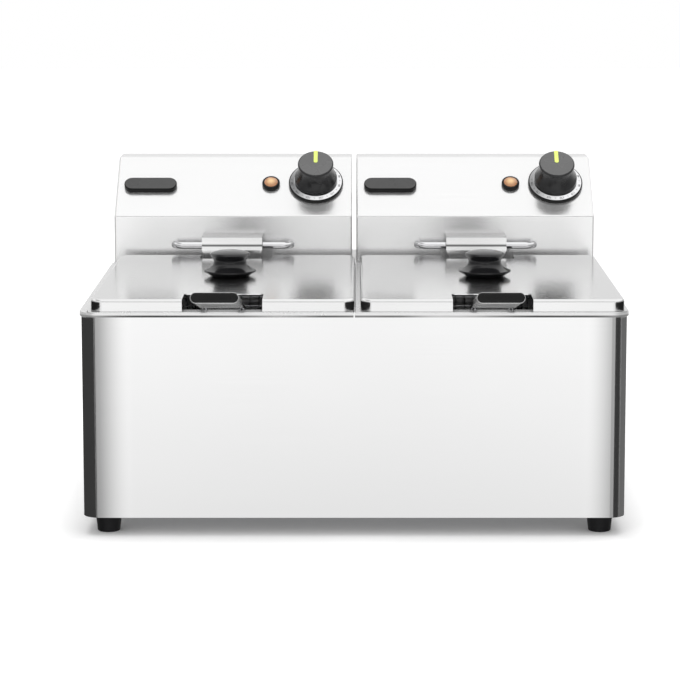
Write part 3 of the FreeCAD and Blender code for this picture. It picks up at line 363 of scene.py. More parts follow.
@dataclass(frozen=True)
class WrappedSheet(SteelSheet):
    """Brushed sheet bent round upright corners, drawn in a little beside each bend."""

    centre: Place = ORIGIN
    half_width: float = 0.2
    half_depth: float = 0.2
    reach: float = 38.0 * MM
    slope: float = 0.41
    lean: float = 3.0 * MM

    def build(self) -> bpy.types.Material:
        """Make the material.

        Returns:
            The finished material.
        """
        board = Board(self.name)
        board.set(Metallic=self.mirror)
        streaks = board.math("MULTIPLY", self.brush(board), self.streak * self.streak_depth)
        across, along, _ = board.parts(board.place(centre=self.centre))
        sides = self.draw(board, board.math("SUBTRACT", across, self.lean), self.half_width)
        ends = self.draw(board, along, self.half_depth)
        height = board.math("SUBTRACT", streaks, board.math("ADD", sides, ends))
        board.bump(height, strength=1.0, depth=1.0)
        return board.material

    def draw(self, board: Board, way: Socket, half: float) -> Socket:
        """How far the sheet falls back towards its two edges along one way.

        Args:
            board: the material to work on.
            way: the distance from the middle.
            half: the distance from the middle to an edge.

        Returns:
            The fall, in metres.
        """
        near = board.math("SUBTRACT", board.math("ABSOLUTE", way), half - self.reach)
        inside = board.math("MINIMUM", board.math("MAXIMUM", near, 0.0), self.reach)
        squared = board.math("MULTIPLY", inside, inside)
        return board.math("MULTIPLY", squared, self.slope / (2 * self.reach))


@dataclass(frozen=True)
class Crease:
    """A painted dark reflection along a fold: its depth below the top, half its width and the light that it
    keeps.
    """

    depth: float
    half: float
    light: float


@dataclass(frozen=True)
class CreasedSheet(SteelSheet):
    """Folded strap with painted shade on its upward faces and painted dark reflections along the folds of its
    face.
    """

    top_colour: Colour = (0.4, 0.4, 0.4)
    top_light: float = 0.94
    top_facing: Fade = Fade(0.6, 0.95)
    top: float = 0.2
    crease_reflections: tuple[Crease, ...] = (Crease(0.5 * MM, 0.9 * MM, 0.55), Crease(8.2 * MM, 1.7 * MM, 0.12))

    def tone(self, board: Board, streaks: Socket) -> Socket:
        """The strap's colour.

        Args:
            board: the material to work on.
            streaks: the brushing, from 0 to 1.

        Returns:
            The colour, with painted dark reflections at each crease and painted shade on its upward faces.
        """
        bright = super().tone(board, streaks)
        height = board.parts(board.place())[2]
        # Painted reflections: dark bands at given depths below the top of the strap.
        for crease in self.crease_reflections:
            off = board.math("ABSOLUTE", board.math("SUBTRACT", height, self.top - crease.depth))
            dark = board.fade(off, Fade(0.0, crease.half, 1.0, 0.0))
            bright = board.blend(dark, bright, shade(self.colour, crease.light))
        # Painted shade: faces that point up get the darker top colour.
        facing = board.parts(board.add("ShaderNodeNewGeometry").outputs["Normal"])[2]
        shaded_top = board.blend(board.span(streaks), shade(self.top_colour, self.top_light), self.top_colour)
        return board.blend(board.fade(facing, self.top_facing), bright, shaded_top)


@dataclass(frozen=True)
class LippedSheet(SteelSheet):
    """Drawn tank steel with a painted shadow along the lower edge of its turned-down lip."""

    centre: Place = ORIGIN
    half_width: float = 0.1
    half_depth: float = 0.1
    corner: float = 13.0 * MM
    skin: float = 0.7 * MM
    lip_low: float = 0.16
    line: float = 2.0 * MM
    shadow_core: float = 0.6
    shadow_colour: Colour = (0.05, 0.05, 0.05)
    shadow_faintest: float = 0.35
    shadow_scale: float = 11.0
    shadow_detail: float = 1.0

    def tone(self, board: Board, streaks: Socket) -> Socket:
        """The tank's colour.

        Args:
            board: the material to work on.
            streaks: the drawing marks, from 0 to 1.

        Returns:
            The colour, with an uneven painted shadow line along the outside of the lip.
        """
        bright = super().tone(board, streaks)
        across, along, up = board.parts(board.place(centre=self.centre))
        outward = []
        for way, half in ((across, self.half_width), (along, self.half_depth)):
            past = board.math("SUBTRACT", board.math("ABSOLUTE", way), half - self.corner)
            outward.append(board.math("POWER", board.math("MAXIMUM", past, 0.0), 2.0))
        reach = board.math("SQRT", board.math("ADD", *outward))
        outside = board.math("GREATER_THAN", reach, self.corner - self.skin)
        # Painted shadow: a dark uneven band on the outside of the lip, just above its lower edge.
        core = self.lip_low + self.shadow_core * self.line
        low = board.fade(up, Fade(core, self.lip_low + self.line, 1.0, 0.0))
        cloud = board.noise(board.place(), self.shadow_scale, self.shadow_detail)
        line = board.math("MULTIPLY", outside, low)
        dark = board.math("MULTIPLY", line, board.span(cloud, self.shadow_faintest))
        return board.blend(dark, bright, self.shadow_colour)


@dataclass(frozen=True)
class MouldedPlastic:
    """Moulded plastic or rubber with a fine eroded grain."""

    name: str
    colour: Colour
    roughness: float
    grain: float = 0.15
    specular: float = 0.5
    grain_depth: float = 0.05 * MM
    grain_scale: float = 2600.0
    cloud_scale: float = 60.0
    cloud_detail: float = 2.0
    cloud_tone: float = 0.1
    cloud_gloss: float = 0.05

    def build(self) -> bpy.types.Material:
        """Make the material.

        Returns:
            The finished material.
        """
        board = Board(self.name)
        board.set(Specular_IOR_Level=self.specular)
        cloud = board.noise(board.place(), self.cloud_scale, self.cloud_detail)
        fine = board.noise(board.place(), self.grain_scale, self.cloud_detail)
        board.feed("Base Color", self.tone(board, cloud))
        gloss = board.span(cloud, self.roughness - self.cloud_gloss, self.roughness + self.cloud_gloss)
        board.feed("Roughness", gloss)
        board.bump(fine, self.grain, self.grain_depth)
        return board.material

    def tone(self, board: Board, cloud: Socket) -> Socket:
        """The colour, a little uneven."""
        dark, pale = (shade(self.colour, 1.0 + way * self.cloud_tone) for way in (-1.0, 1.0))
        return board.blend(board.span(cloud), dark, pale)


@dataclass(frozen=True)
class CappedPlastic(MouldedPlastic):
    """Moulded plastic whose flat top face is painted a paler colour."""

    top_colour: Colour = (0.2, 0.2, 0.2)
    top_light: float = 0.95
    centre: Place = ORIGIN
    normal: Place = (0.0, 0.0, 1.0)
    top: float = 0.02

    def tone(self, board: Board, cloud: Socket) -> Socket:
        """The piece's colour.

        Args:
            board: the material to work on.
            cloud: the uneven cast, from 0 to 1.

        Returns:
            The body's colour below the top, and the paler one there.
        """
        height = board.vector("DOT_PRODUCT", board.place(centre=self.centre), self.normal).outputs["Value"]
        body = super().tone(board, cloud)
        face = board.blend(board.span(cloud), shade(self.top_colour, self.top_light), self.top_colour)
        return board.blend(board.math("GREATER_THAN", height, self.top), body, face)


@dataclass(frozen=True)
class HeatTintedTube:
    """Heating-tube steel, tinted brown and straw by heat."""

    name: str
    cool: Colour
    hot: Colour
    smooth: float = 0.28
    rough: float = 0.45
    cloud_scale: float = 24.0
    cloud_detail: float = 4.0
    pit_scale: float = 900.0
    pit_strength: float = 0.15
    pit_depth: float = 0.05 * MM

    def build(self) -> bpy.types.Material:
        """Make the material.

        Returns:
            The finished material.
        """
        board = Board(self.name)
        board.set(Metallic=1.0)
        cloud = board.noise(board.place(), self.cloud_scale, self.cloud_detail)
        board.feed("Base Color", board.blend(board.span(cloud), self.cool, self.hot))
        board.feed("Roughness", board.span(cloud, self.smooth, self.rough))
        board.bump(board.noise(board.place(), self.pit_scale), self.pit_strength, self.pit_depth)
        return board.material


@dataclass(frozen=True)
class AmberLens:
    """Clear amber lens with a bright heart and fine facets."""

    name: str
    heart: Colour
    edge: Colour
    centre: Place
    radius: float
    heart_share: float = 0.15
    glow: float = 0.25
    edge_glow: float = 0.4
    roughness: float = 0.12
    coat: float = 0.6
    coat_roughness: float = 0.05
    facet_scale: float = 420.0
    facet_strength: float = 0.8
    facet_depth: float = 0.8 * MM

    def build(self) -> bpy.types.Material:
        """Make the material.

        Returns:
            The finished material.
        """
        board = Board(self.name)
        board.set(Roughness=self.roughness, Coat_Weight=self.coat, Coat_Roughness=self.coat_roughness,
                  Emission_Strength=self.glow)
        reach = board.fade(board.away(self.centre), Fade(self.heart_share * self.radius, self.radius))
        board.feed("Base Color", board.blend(reach, self.heart, self.edge))
        board.feed("Emission Color", board.blend(reach, self.heart, shade(self.edge, self.edge_glow)))
        facets = board.add("ShaderNodeTexVoronoi")
        board.wire(facets, Vector=board.place(centre=self.centre), Scale=self.facet_scale)
        board.bump(facets.outputs["Distance"], self.facet_strength, self.facet_depth)
        return board.material


@dataclass(frozen=True)
class SpunRing:
    """Bright metal spun round a centre, with fine circles and one side in shade."""

    name: str
    colour: Colour
    centre: Place
    radius: float
    dark_side: float = 0.5
    dark_from: float = -0.9
    dark_to: float = 0.1
    circle_scale: float = 5200.0
    circle_detail: float = 2.0
    circle_light: float = 0.92
    circle_strength: float = 0.1
    circle_depth: float = 0.03 * MM
    smooth: float = 0.2
    rough: float = 0.3

    def build(self) -> bpy.types.Material:
        """Make the material.

        Returns:
            The finished material.
        """
        board = Board(self.name)
        board.set(Metallic=1.0)
        noise = board.add("ShaderNodeTexNoise", noise_dimensions="1D")
        board.wire(noise, W=board.away(self.centre), Scale=self.circle_scale, Detail=self.circle_detail)
        circles = noise.outputs["Fac"]
        bright = board.blend(board.span(circles), shade(self.colour, self.circle_light), self.colour)
        across = board.parts(board.place(centre=self.centre))[0]
        side = Fade(self.dark_from * self.radius, self.dark_to * self.radius, 1.0, 0.0)
        dark = shade(self.colour, self.dark_side)
        board.feed("Base Color", board.blend(board.fade(across, side), bright, dark))
        board.feed("Roughness", board.span(circles, self.smooth, self.rough))
        board.bump(circles, self.circle_strength, self.circle_depth)
        return board.material


# Name, colour and roughness; for sheets also the strength and the way of the streaks.
SATIN_TOP = SteelSheet("satin_head_sheet", grey(0.77), 0.24, 0.014, Grain.ALONG_X, mirror=0.8)
POLISHED = SteelSheet("polished_sheet", grey(0.70), 0.16, 0.015, Grain.ALONG_X)
PLAIN = SteelSheet("mill_sheet", (0.62, 0.62, 0.63), 0.36, 0.16, Grain.ALONG_X)
PLATED = SteelSheet("plated_wire", (0.70, 0.70, 0.71), 0.12, 0.02, Grain.LEVEL, smudge=0.02)
SCREWS = SteelSheet("screw_steel", grey(0.66), 0.3, 0.05, Grain.LEVEL)
BLACK = MouldedPlastic("black_moulding", (0.017, 0.017, 0.018), 0.30)
GLOSS_BLACK = MouldedPlastic("gloss_black_moulding", (0.010, 0.010, 0.011), 0.2, grain=0.06, specular=0.4)
DEEP_BLACK = MouldedPlastic("deep_black_moulding", grey(0.006), 0.28, grain=0.1, specular=0.22)
RUBBER = MouldedPlastic("foot_rubber", (0.010, 0.010, 0.011), 0.62, grain=0.4, specular=0.2)
POINTER = MouldedPlastic("pointer_yellow", (0.80, 0.93, 0.20), 0.4)
PHENOLIC = MouldedPlastic("brown_phenolic", (0.10, 0.06, 0.04), 0.42)
STEATITE = MouldedPlastic("white_steatite", (0.78, 0.75, 0.69), 0.55, grain=0.3)
RED = MouldedPlastic("red_button", (0.42, 0.02, 0.02), 0.3)
INK = MouldedPlastic("dial_ink", (0.05, 0.05, 0.055), 0.6)
COPPER = HeatTintedTube("bulb_copper", (0.66, 0.46, 0.34), (0.50, 0.36, 0.28))
TINTED = HeatTintedTube("element_tube", (0.33, 0.31, 0.29), (0.20, 0.15, 0.11))


class Wardrobe:
    """Finishes already made, so that equal ones share a material."""

    def __init__(self) -> None:
        """Start with nothing made."""
        self.made: dict[str, bpy.types.Material] = {}

    def get(self, finish: Finish) -> bpy.types.Material:
        """The material of a finish, made at its first use.

        Args:
            finish: the finish.

        Returns:
            Its material.
        """
        if finish.name not in self.made:
            self.made[finish.name] = finish.build()
        return self.made[finish.name]

    def dress(self, obj: bpy.types.Object, finish: Finish) -> None:
        """Give an object one finish all over."""
        obj.data.materials.clear()
        obj.data.materials.append(self.get(finish))

    def dress_node(self, node: str, finish: Finish) -> None:
        """Give a frame node one finish, and report it."""
        self.dress(frame["nodes"][node], finish)
        LOG.info("node %s: %s", node, finish.name)

    def hang(self, obj: bpy.types.Object, finish: Finish, body: str, slot: str) -> None:
        """Dress a new piece and let it ride on a body.

        Args:
            obj: the piece.
            finish: its finish.
            body: the body that carries it.
            slot: the record's material slot; not used.
        """
        self.dress(obj, finish)
        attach(obj, body)
        LOG.info("piece %s on %s: %s", obj.name, body, finish.name)


@dataclass(frozen=True)
class Softbox:
    """A rectangular light: its place, size and power, and the point that it faces."""

    name: str
    place: Place
    size: tuple[float, float]
    power: float
    target: Place


@dataclass(frozen=True)
class Flag:
    """An upright board beside a front corner of the casing, which only bright metal mirrors.

    Its way is -1 for the left side and 1 for the right. Front and back are how far it reaches
    forward of the casing's front.
    """

    name: str
    paint: str
    way: float
    front: float
    back: float


@dataclass
class Studio:
    """Pale floor, soft light and the camera of the photograph."""

    lens: float = 134.186
    sensor: float = 36.0
    height: float = 0.49615
    distance: float = 2.12979
    tilt: float = 7.758
    shift_x: float = -0.02085
    shift_y: float = -0.12
    pale: Colour = (1.0, 1.0, 1.0)
    mirrored: float = 1.434
    overhead: float = 0.893
    least_level: float = 0.001
    sky_height: Fade = Fade(0.25, 0.6)
    ground_height: Fade = Fade(-0.12, -0.34, 1.0, 0.62)
    stripe_low: Fade = Fade(0.2, 0.28)
    stripe_high: Fade = Fade(0.44, 0.54, 1.0, 0.0)
    stripe_ahead: Fade = Fade(-0.97, -0.86, 0.85, 0.0)
    dim_side: Fade = Fade(-0.55, -0.2, 0.65, 0.0)
    dim_height: Fade = Fade(0.62, 0.8)
    floor_size: float = 6.0
    floor_colour: Colour = (0.93, 0.93, 0.93)
    floor_light: float = 0.99
    floor_glow: float = 0.38
    floor_roughness: float = 0.9
    floor_specular: float = 0.1
    floor_grain: float = 40.0
    floor_detail: float = 2.0
    shade_reach: float = 60.0 * MM
    flag_colour: Colour = (0.01, 0.01, 0.01)
    flag_light: float = 0.95
    flag_grain: float = 30.0
    flag_gap: float = 6.0 * MM
    flag_low: float = -50.0 * MM
    flag_high: float = 176.0 * MM
    side_flags: tuple[Flag, ...] = (Flag("left_flag", "black_flag", -1.0, 14.0 * MM, -18.0 * MM),
                                    Flag("right_flag", "black_flag", 1.0, 13.0 * MM, 0.0),
                                    Flag("right_grey_flag", "grey_flag", 1.0, -1.0 * MM, -18.0 * MM))
    lid_flag_gap: float = 2.4 * MM
    lid_flag_reach: float = 20.0 * MM
    lid_flag_back: float = 10.0 * MM
    lid_flag_drop: float = 1.8 * MM
    softboxes: tuple[Softbox, ...] = (
        Softbox("overhead", (0.0, -0.2, 1.9), (1.8, 1.4), 14.0, (0.0, 0.0, 0.1)),
        Softbox("front_fill", (-0.9, -1.9, 1.3), (1.2, 1.2), 7.0, (0.0, 0.0, 0.12)))

    @property
    def wall_greys(self) -> dict[float, float]:
        """The studio's wall, from straight behind the object, at 0, round to straight ahead, at 1."""
        return {0.0: 0.61, 0.115: 0.54, 0.25: 0.31, 0.5: 0.31, 0.895: 0.4, 0.983: 0.93, 0.9993: 1.0,
                1.0: 0.93}

    @property
    def flag_glows(self) -> dict[str, float]:
        """The boards' paints, and the little light that each gives back."""
        return {"black_flag": 0.05, "grey_flag": 0.18, "lid_flag": 0.015}

    def build(self) -> None:
        """Set up everything that isn't the object."""
        self.colours()
        self.world()
        self.floor()
        self.flags()
        for box in self.softboxes:
            self.softbox(box)
        self.camera()

    def colours(self) -> None:
        """Show the scene's light as it is, with no film curve."""
        view = bpy.context.scene.view_settings
        view.view_transform = "Standard"
        view.look = "None"
        view.exposure = 0.0

    def world(self) -> None:
        """White for the camera; in reflections, brightest ahead and above and greyer to the sides."""
        world = bpy.data.worlds.new("studio")
        world.use_nodes = True
        bpy.context.scene.world = world
        nodes = Nodes(world.node_tree)
        east, north, high = nodes.parts(nodes.add("ShaderNodeTexCoord").outputs["Generated"])
        squares = (nodes.math("MULTIPLY", way, way) for way in (east, north))
        level = nodes.math("SQRT", nodes.math("ADD", *squares))
        ahead = nodes.math("DIVIDE", north, nodes.math("MAXIMUM", level, self.least_level))
        turn = nodes.math("MULTIPLY", nodes.math("SUBTRACT", 1.0, ahead), 0.5)
        sky = nodes.blend(nodes.fade(high, self.sky_height), nodes.greys(turn, self.wall_greys),
                          shade(self.pale, self.overhead))
        stripe = nodes.math("MULTIPLY", nodes.fade(high, self.stripe_low), nodes.fade(high, self.stripe_high))
        stripe = nodes.math("MULTIPLY", stripe, nodes.fade(ahead, self.stripe_ahead))
        dim = nodes.math("MULTIPLY", nodes.fade(east, self.dim_side), nodes.fade(high, self.dim_height))
        strength = nodes.fade(high, self.ground_height)
        for dark in (stripe, dim):
            strength = nodes.math("MULTIPLY", strength, nodes.math("SUBTRACT", 1.0, dark))
        ray = nodes.add("ShaderNodeLightPath").outputs
        mirrored = nodes.fade(ray["Is Glossy Ray"], Fade(0.0, 1.0, 1.0, self.mirrored))
        strength = nodes.math("MULTIPLY", strength, mirrored)
        lamp = world.node_tree.nodes["Background"]
        nodes.wire(lamp, Color=nodes.blend(ray["Is Camera Ray"], sky, self.pale),
                   Strength=nodes.math("MAXIMUM", strength, ray["Is Camera Ray"]))

    def floor(self) -> None:
        """A pale floor that glows a little, away from the casing, and that metal doesn't mirror."""
        floor = self.panel("floor", Matrix.Diagonal((self.floor_size, self.floor_size, 1.0, 1.0)))
        board = Board("floor_paper")
        board.set(Roughness=self.floor_roughness, Specular_IOR_Level=self.floor_specular,
                  Emission_Color=(*self.pale, 1.0))
        middle, half = middle_of("casing_shell")
        across, along, _ = board.parts(board.place(centre=tuple(middle)))
        out = board.math("MAXIMUM", board.math("SUBTRACT", board.math("ABSOLUTE", across), half.x),
                         board.math("SUBTRACT", board.math("ABSOLUTE", along), half.y))
        glow = Fade(-self.shade_reach / 2, self.shade_reach, 0.0, self.floor_glow)
        board.feed("Emission Strength", board.fade(out, glow))
        grain = board.noise(board.place(), self.floor_grain, self.floor_detail)
        dark = shade(self.floor_colour, self.floor_light)
        board.feed("Base Color", board.blend(grain, dark, self.floor_colour))
        floor.data.materials.append(board.material)
        floor.visible_glossy = False

    def flags(self) -> None:
        """Dark boards close beside the front corners of the casing and the lids."""
        paints = {name: self.flag_paint(name, glow) for name, glow in self.flag_glows.items()}
        low, high = box_of("casing_shell")
        for flag in self.side_flags:
            x = flag.way * (high.x + self.flag_gap)
            near = Vector((x, low.y - flag.front, self.flag_low))
            far = Vector((x, low.y - flag.back, self.flag_high))
            self.stand(flag.name, paints[flag.paint], near, far)
        for side in Side:
            self.lid_flags(side, paints["lid_flag"])

    def flag_paint(self, name: str, glow: float) -> bpy.types.Material:
        """A board's paint.

        Args:
            name: the material's name.
            glow: the light that it gives back.

        Returns:
            The material.
        """
        board = Board(name)
        board.set(Specular_IOR_Level=0.0, Roughness=1.0, Emission_Strength=glow)
        grain = board.noise(board.place(), self.flag_grain)
        board.feed("Base Color", board.blend(grain, grey(0.0), self.flag_colour))
        board.feed("Emission Color", board.blend(grain, shade(self.pale, self.flag_light), self.pale))
        return board.material

    def lid_flags(self, side: Side, paint: bpy.types.Material) -> None:
        """Stand small dark boards beside the front corners of one lid.

        Args:
            side: the lid's side.
            paint: the boards' material.
        """
        low, high = box_of(side.node("lid_cover"))
        for name, x in (("left", low.x - self.lid_flag_gap), ("right", high.x + self.lid_flag_gap)):
            near = Vector((x, low.y - self.lid_flag_reach, low.z))
            far = Vector((x, low.y + self.lid_flag_back, high.z - self.lid_flag_drop))
            self.stand(side.node(f"lid_{name}_flag"), paint, near, far)

    def stand(self, name: str, paint: bpy.types.Material, near: Vector, far: Vector) -> None:
        """Stand an upright board that is seen only in reflections.

        Args:
            name: the board's name.
            paint: its material.
            near: its low corner at the front.
            far: its high corner at the back.
        """
        size = Matrix.Diagonal(((far.z - near.z) / 2, (far.y - near.y) / 2, 1.0, 1.0))
        upright = Matrix.Rotation(math.pi / 2, 4, "Y")
        board = self.panel(name, Matrix.Translation((near + far) / 2) @ upright @ size)
        board.data.materials.append(paint)
        for ray in ("camera", "diffuse", "shadow", "transmission"):
            setattr(board, f"visible_{ray}", False)

    def panel(self, name: str, place: Matrix) -> bpy.types.Object:
        """A flat board of the studio.

        Args:
            name: the board's name.
            place: what turns a square of half side 1 into the board.

        Returns:
            The board.
        """
        form = bmesh.new()
        bmesh.ops.create_grid(form, x_segments=1, y_segments=1, size=1.0, matrix=place)
        obj = finished(name, form)
        return obj

    def softbox(self, box: Softbox) -> None:
        """Hang one rectangular light and turn it to its target.

        Args:
            box: the light.
        """
        data = bpy.data.lights.new(box.name, "AREA")
        data.shape = "RECTANGLE"
        data.size, data.size_y = box.size
        data.energy = box.power
        light = bpy.data.objects.new(box.name, data)
        light.location = box.place
        light.visible_glossy = False
        light.rotation_euler = (Vector(box.target) - Vector(box.place)).to_track_quat("-Z", "Y").to_euler()
        bpy.context.scene.collection.objects.link(light)

    def camera(self) -> None:
        """The photograph's view: straight on, a little above."""
        data = bpy.data.cameras.new("photo_camera")
        data.lens = self.lens
        data.sensor_width = self.sensor
        data.shift_x = self.shift_x
        data.shift_y = self.shift_y
        camera = bpy.data.objects.new("photo_camera", data)
        camera.location = (0.0, -self.distance, self.height)
        camera.rotation_euler = (math.radians(90.0 - self.tilt), 0.0, 0.0)
        bpy.context.scene.collection.objects.link(camera)
        bpy.context.scene.camera = camera


def box_of(node: str) -> tuple[Vector, Vector]:
    """A node's lowest and highest corner."""
    low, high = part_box(node)
    return Vector(low), Vector(high)


def middle_of(node: str) -> tuple[Vector, Vector]:
    """A node's middle, and half its size."""
    low, high = box_of(node)
    return (low + high) / 2, (high - low) / 2


def finished(name: str, form: bmesh.types.BMesh, smooth: bool = False) -> bpy.types.Object:
    """Turn a bmesh into an object in the scene.

    Args:
        name: the object's name.
        form: the shape, which is freed.
        smooth: True where its faces are rounded.

    Returns:
        The object, at the origin.
    """
    mesh = bpy.data.meshes.new(name)
    for face in form.faces:
        face.smooth = smooth
    form.to_mesh(mesh)
    form.free()
    obj = bpy.data.objects.new(name, mesh)
    bpy.context.scene.collection.objects.link(obj)
    return obj


def final_mesh(obj: bpy.types.Object) -> bpy.types.Mesh:
    """A new mesh of an object with its modifiers, or of a curve or text."""
    bpy.context.view_layer.update()
    return bpy.data.meshes.new_from_object(obj.evaluated_get(bpy.context.evaluated_depsgraph_get()))


def mesh_of(curve: bpy.types.Curve) -> bpy.types.Mesh:
    """Turn a curve or text into a mesh.

    Args:
        curve: the curve or text, which is removed.

    Returns:
        The mesh.
    """
    drawn = bpy.data.objects.new(curve.name + "_line", curve)
    bpy.context.scene.collection.objects.link(drawn)
    mesh = final_mesh(drawn)
    bpy.data.objects.remove(drawn)
    bpy.data.curves.remove(curve)
    return mesh


def round_wires(name: str, paths: list[list[Vector]], radius: float,
                closed: bool = False) -> bpy.types.Object:
    """Round wires along paths, as one mesh with six sides to a wire.

    Args:
        name: the object's name.
        paths: the points of each wire's middle line.
        radius: the wire's radius.
        closed: True where each path is a ring.

    Returns:
        The object, at the origin.
    """
    curve = bpy.data.curves.new(name, "CURVE")
    curve.dimensions = "3D"
    curve.bevel_depth = radius
    curve.bevel_resolution = 1
    curve.use_fill_caps = True
    for path in paths:
        line = curve.splines.new("POLY")
        line.points.add(len(path) - 1)
        for point, place in zip(line.points, path):
            point.co = (*place, 1.0)
        line.use_cyclic_u = closed
    form = bmesh.new()
    mesh = mesh_of(curve)
    form.from_mesh(mesh)
    bpy.data.meshes.remove(mesh)
    return finished(name, form, smooth=True)


def quarter(centre: Vector, start: Vector, end: Vector, steps: int) -> list[Vector]:
    """A quarter of an ellipse, from centre + start to centre + end."""
    turns = (math.pi / 2 * step / steps for step in range(steps + 1))
    return [centre + start * math.cos(turn) + end * math.sin(turn) for turn in turns]


@dataclass
class CrossScrews:
    """Pan-head screws with a cross recess, in place of a node's plain ones.

    The outline of a head is in shares of its radius and height. So are the recess's depth, length and width.
    """

    wardrobe: Wardrobe
    node: str
    body: str
    head_radius: float
    head_height: float
    shank_radius: float
    out: Vector
    dome: tuple[tuple[float, float], ...] = ((0.0, 0.0), (0.5, 0.06), (0.85, 0.28), (1.0, 0.65), (1.0, 1.0))
    point: float = 0.5
    steps: int = 20
    merge: float = 0.01 * MM
    recess: float = 0.55
    recess_width: float = 1.1
    slot_width: float = 0.26
    taper: float = 0.6

    def build(self) -> None:
        """Make one screw at each corner of the node's box."""
        low, high = box_of(self.node)
        turn = UP.rotation_difference(self.out).to_matrix().to_4x4()
        master = self.master(abs((high - low).dot(self.out)))
        form = bmesh.new()
        for place in self.places(low, high):
            copy = master.copy()
            copy.transform(Matrix.Translation(place) @ turn)
            form.from_mesh(copy)
            bpy.data.meshes.remove(copy)
        bpy.data.meshes.remove(master)
        screws = finished(self.node + "_cross", form)
        self.wardrobe.hang(screws, SCREWS, self.body, "screw_steel")
        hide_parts(self.node)

    def places(self, low: Vector, high: Vector) -> list[Vector]:
        """The top middle of each head.

        Args:
            low: the lowest corner of the box that holds the screws.
            high: its highest corner.

        Returns:
            Four places, at the corners of the box.
        """
        inset = Vector((self.head_radius,) * 3)
        inner = (low + inset, high - inset)
        along = max(range(3), key=lambda axis: abs(self.out[axis]))
        across = [axis for axis in range(3) if axis != along]
        places = []
        for first in inner:
            for second in inner:
                place = Vector(ORIGIN)
                place[across[0]] = first[across[0]]
                place[across[1]] = second[across[1]]
                place[along] = high[along] if self.out[along] > 0 else low[along]
                places.append(place)
        return places

    def master(self, length: float) -> bpy.types.Mesh:
        """One screw that points up, with the top of its head at the origin.

        Args:
            length: its whole length.

        Returns:
            Its mesh.
        """
        form = bmesh.new()
        shank, tip = self.shank_radius, self.point * self.shank_radius
        outline = [(across * self.head_radius, -down * self.head_height) for across, down in self.dome]
        outline += [(shank, -self.head_height), (shank, tip - length), (tip, -length), (0.0, -length)]
        points = [form.verts.new((across, 0, up)) for across, up in outline]
        edges = [form.edges.new(pair) for pair in zip(points, points[1:])]
        bmesh.ops.spin(form, geom=points + edges, cent=ORIGIN, axis=UP, angle=2 * math.pi, steps=self.steps,
                       use_merge=True)
        bmesh.ops.remove_doubles(form, verts=form.verts, dist=self.merge)
        bmesh.ops.recalc_face_normals(form, faces=form.faces)
        blank = finished("screw_blank", form)
        bars = [self.bar(turn) for turn in (0.0, math.pi / 2)]
        for bar in bars:
            cut = blank.modifiers.new(bar.name, "BOOLEAN")
            cut.operation = "DIFFERENCE"
            cut.solver = "EXACT"
            cut.object = bar
        mesh = final_mesh(blank)
        for used in (blank, *bars):
            bpy.data.objects.remove(used)
        return mesh

    def bar(self, turn: float) -> bpy.types.Object:
        """One tapered bar of the cross that is cut out of a head.

        Args:
            turn: how far the bar is turned, in radians.

        Returns:
            The bar.
        """
        form = bmesh.new()
        size = Matrix.Diagonal((self.recess_width * self.head_radius, self.slot_width * self.head_radius,
                                2 * self.recess * self.head_height, 1.0))
        bmesh.ops.create_cube(form, size=1.0, matrix=Matrix.Rotation(turn, 4, "Z") @ size)
        deep = [point for point in form.verts if point.co.z < 0]
        bmesh.ops.scale(form, vec=(self.taper, self.taper, 1.0), verts=deep)
        return finished("recess_bar", form)


@dataclass
class Casing:
    """The shared casing, its floor, deck and feet."""

    wardrobe: Wardrobe
    sheet_colour: Colour = (0.73, 0.73, 0.73)
    screw_head: float = 4.2 * MM
    screw_head_height: float = 2.6 * MM
    screw_shank: float = 2.0 * MM

    def build(self) -> None:
        """Dress the casing's nodes and screw on its feet."""
        middle, half = middle_of("casing_shell")
        wrap = WrappedSheet("satin_sheet", self.sheet_colour, roughness=0.13, streak=0.006,
                            grain=Grain.LEVEL, smudge=0.015, centre=tuple(middle), half_width=half.x,
                            half_depth=half.y)
        self.wardrobe.dress_node("casing_shell", wrap)
        self.wardrobe.dress_node("rear_deck", SATIN_TOP)
        self.wardrobe.dress_node("base_plate", PLAIN)
        self.wardrobe.dress_node("rubber_feet", RUBBER)
        CrossScrews(self.wardrobe, "foot_screws", "casing", self.screw_head, self.screw_head_height,
                    self.screw_shank, -UP).build()


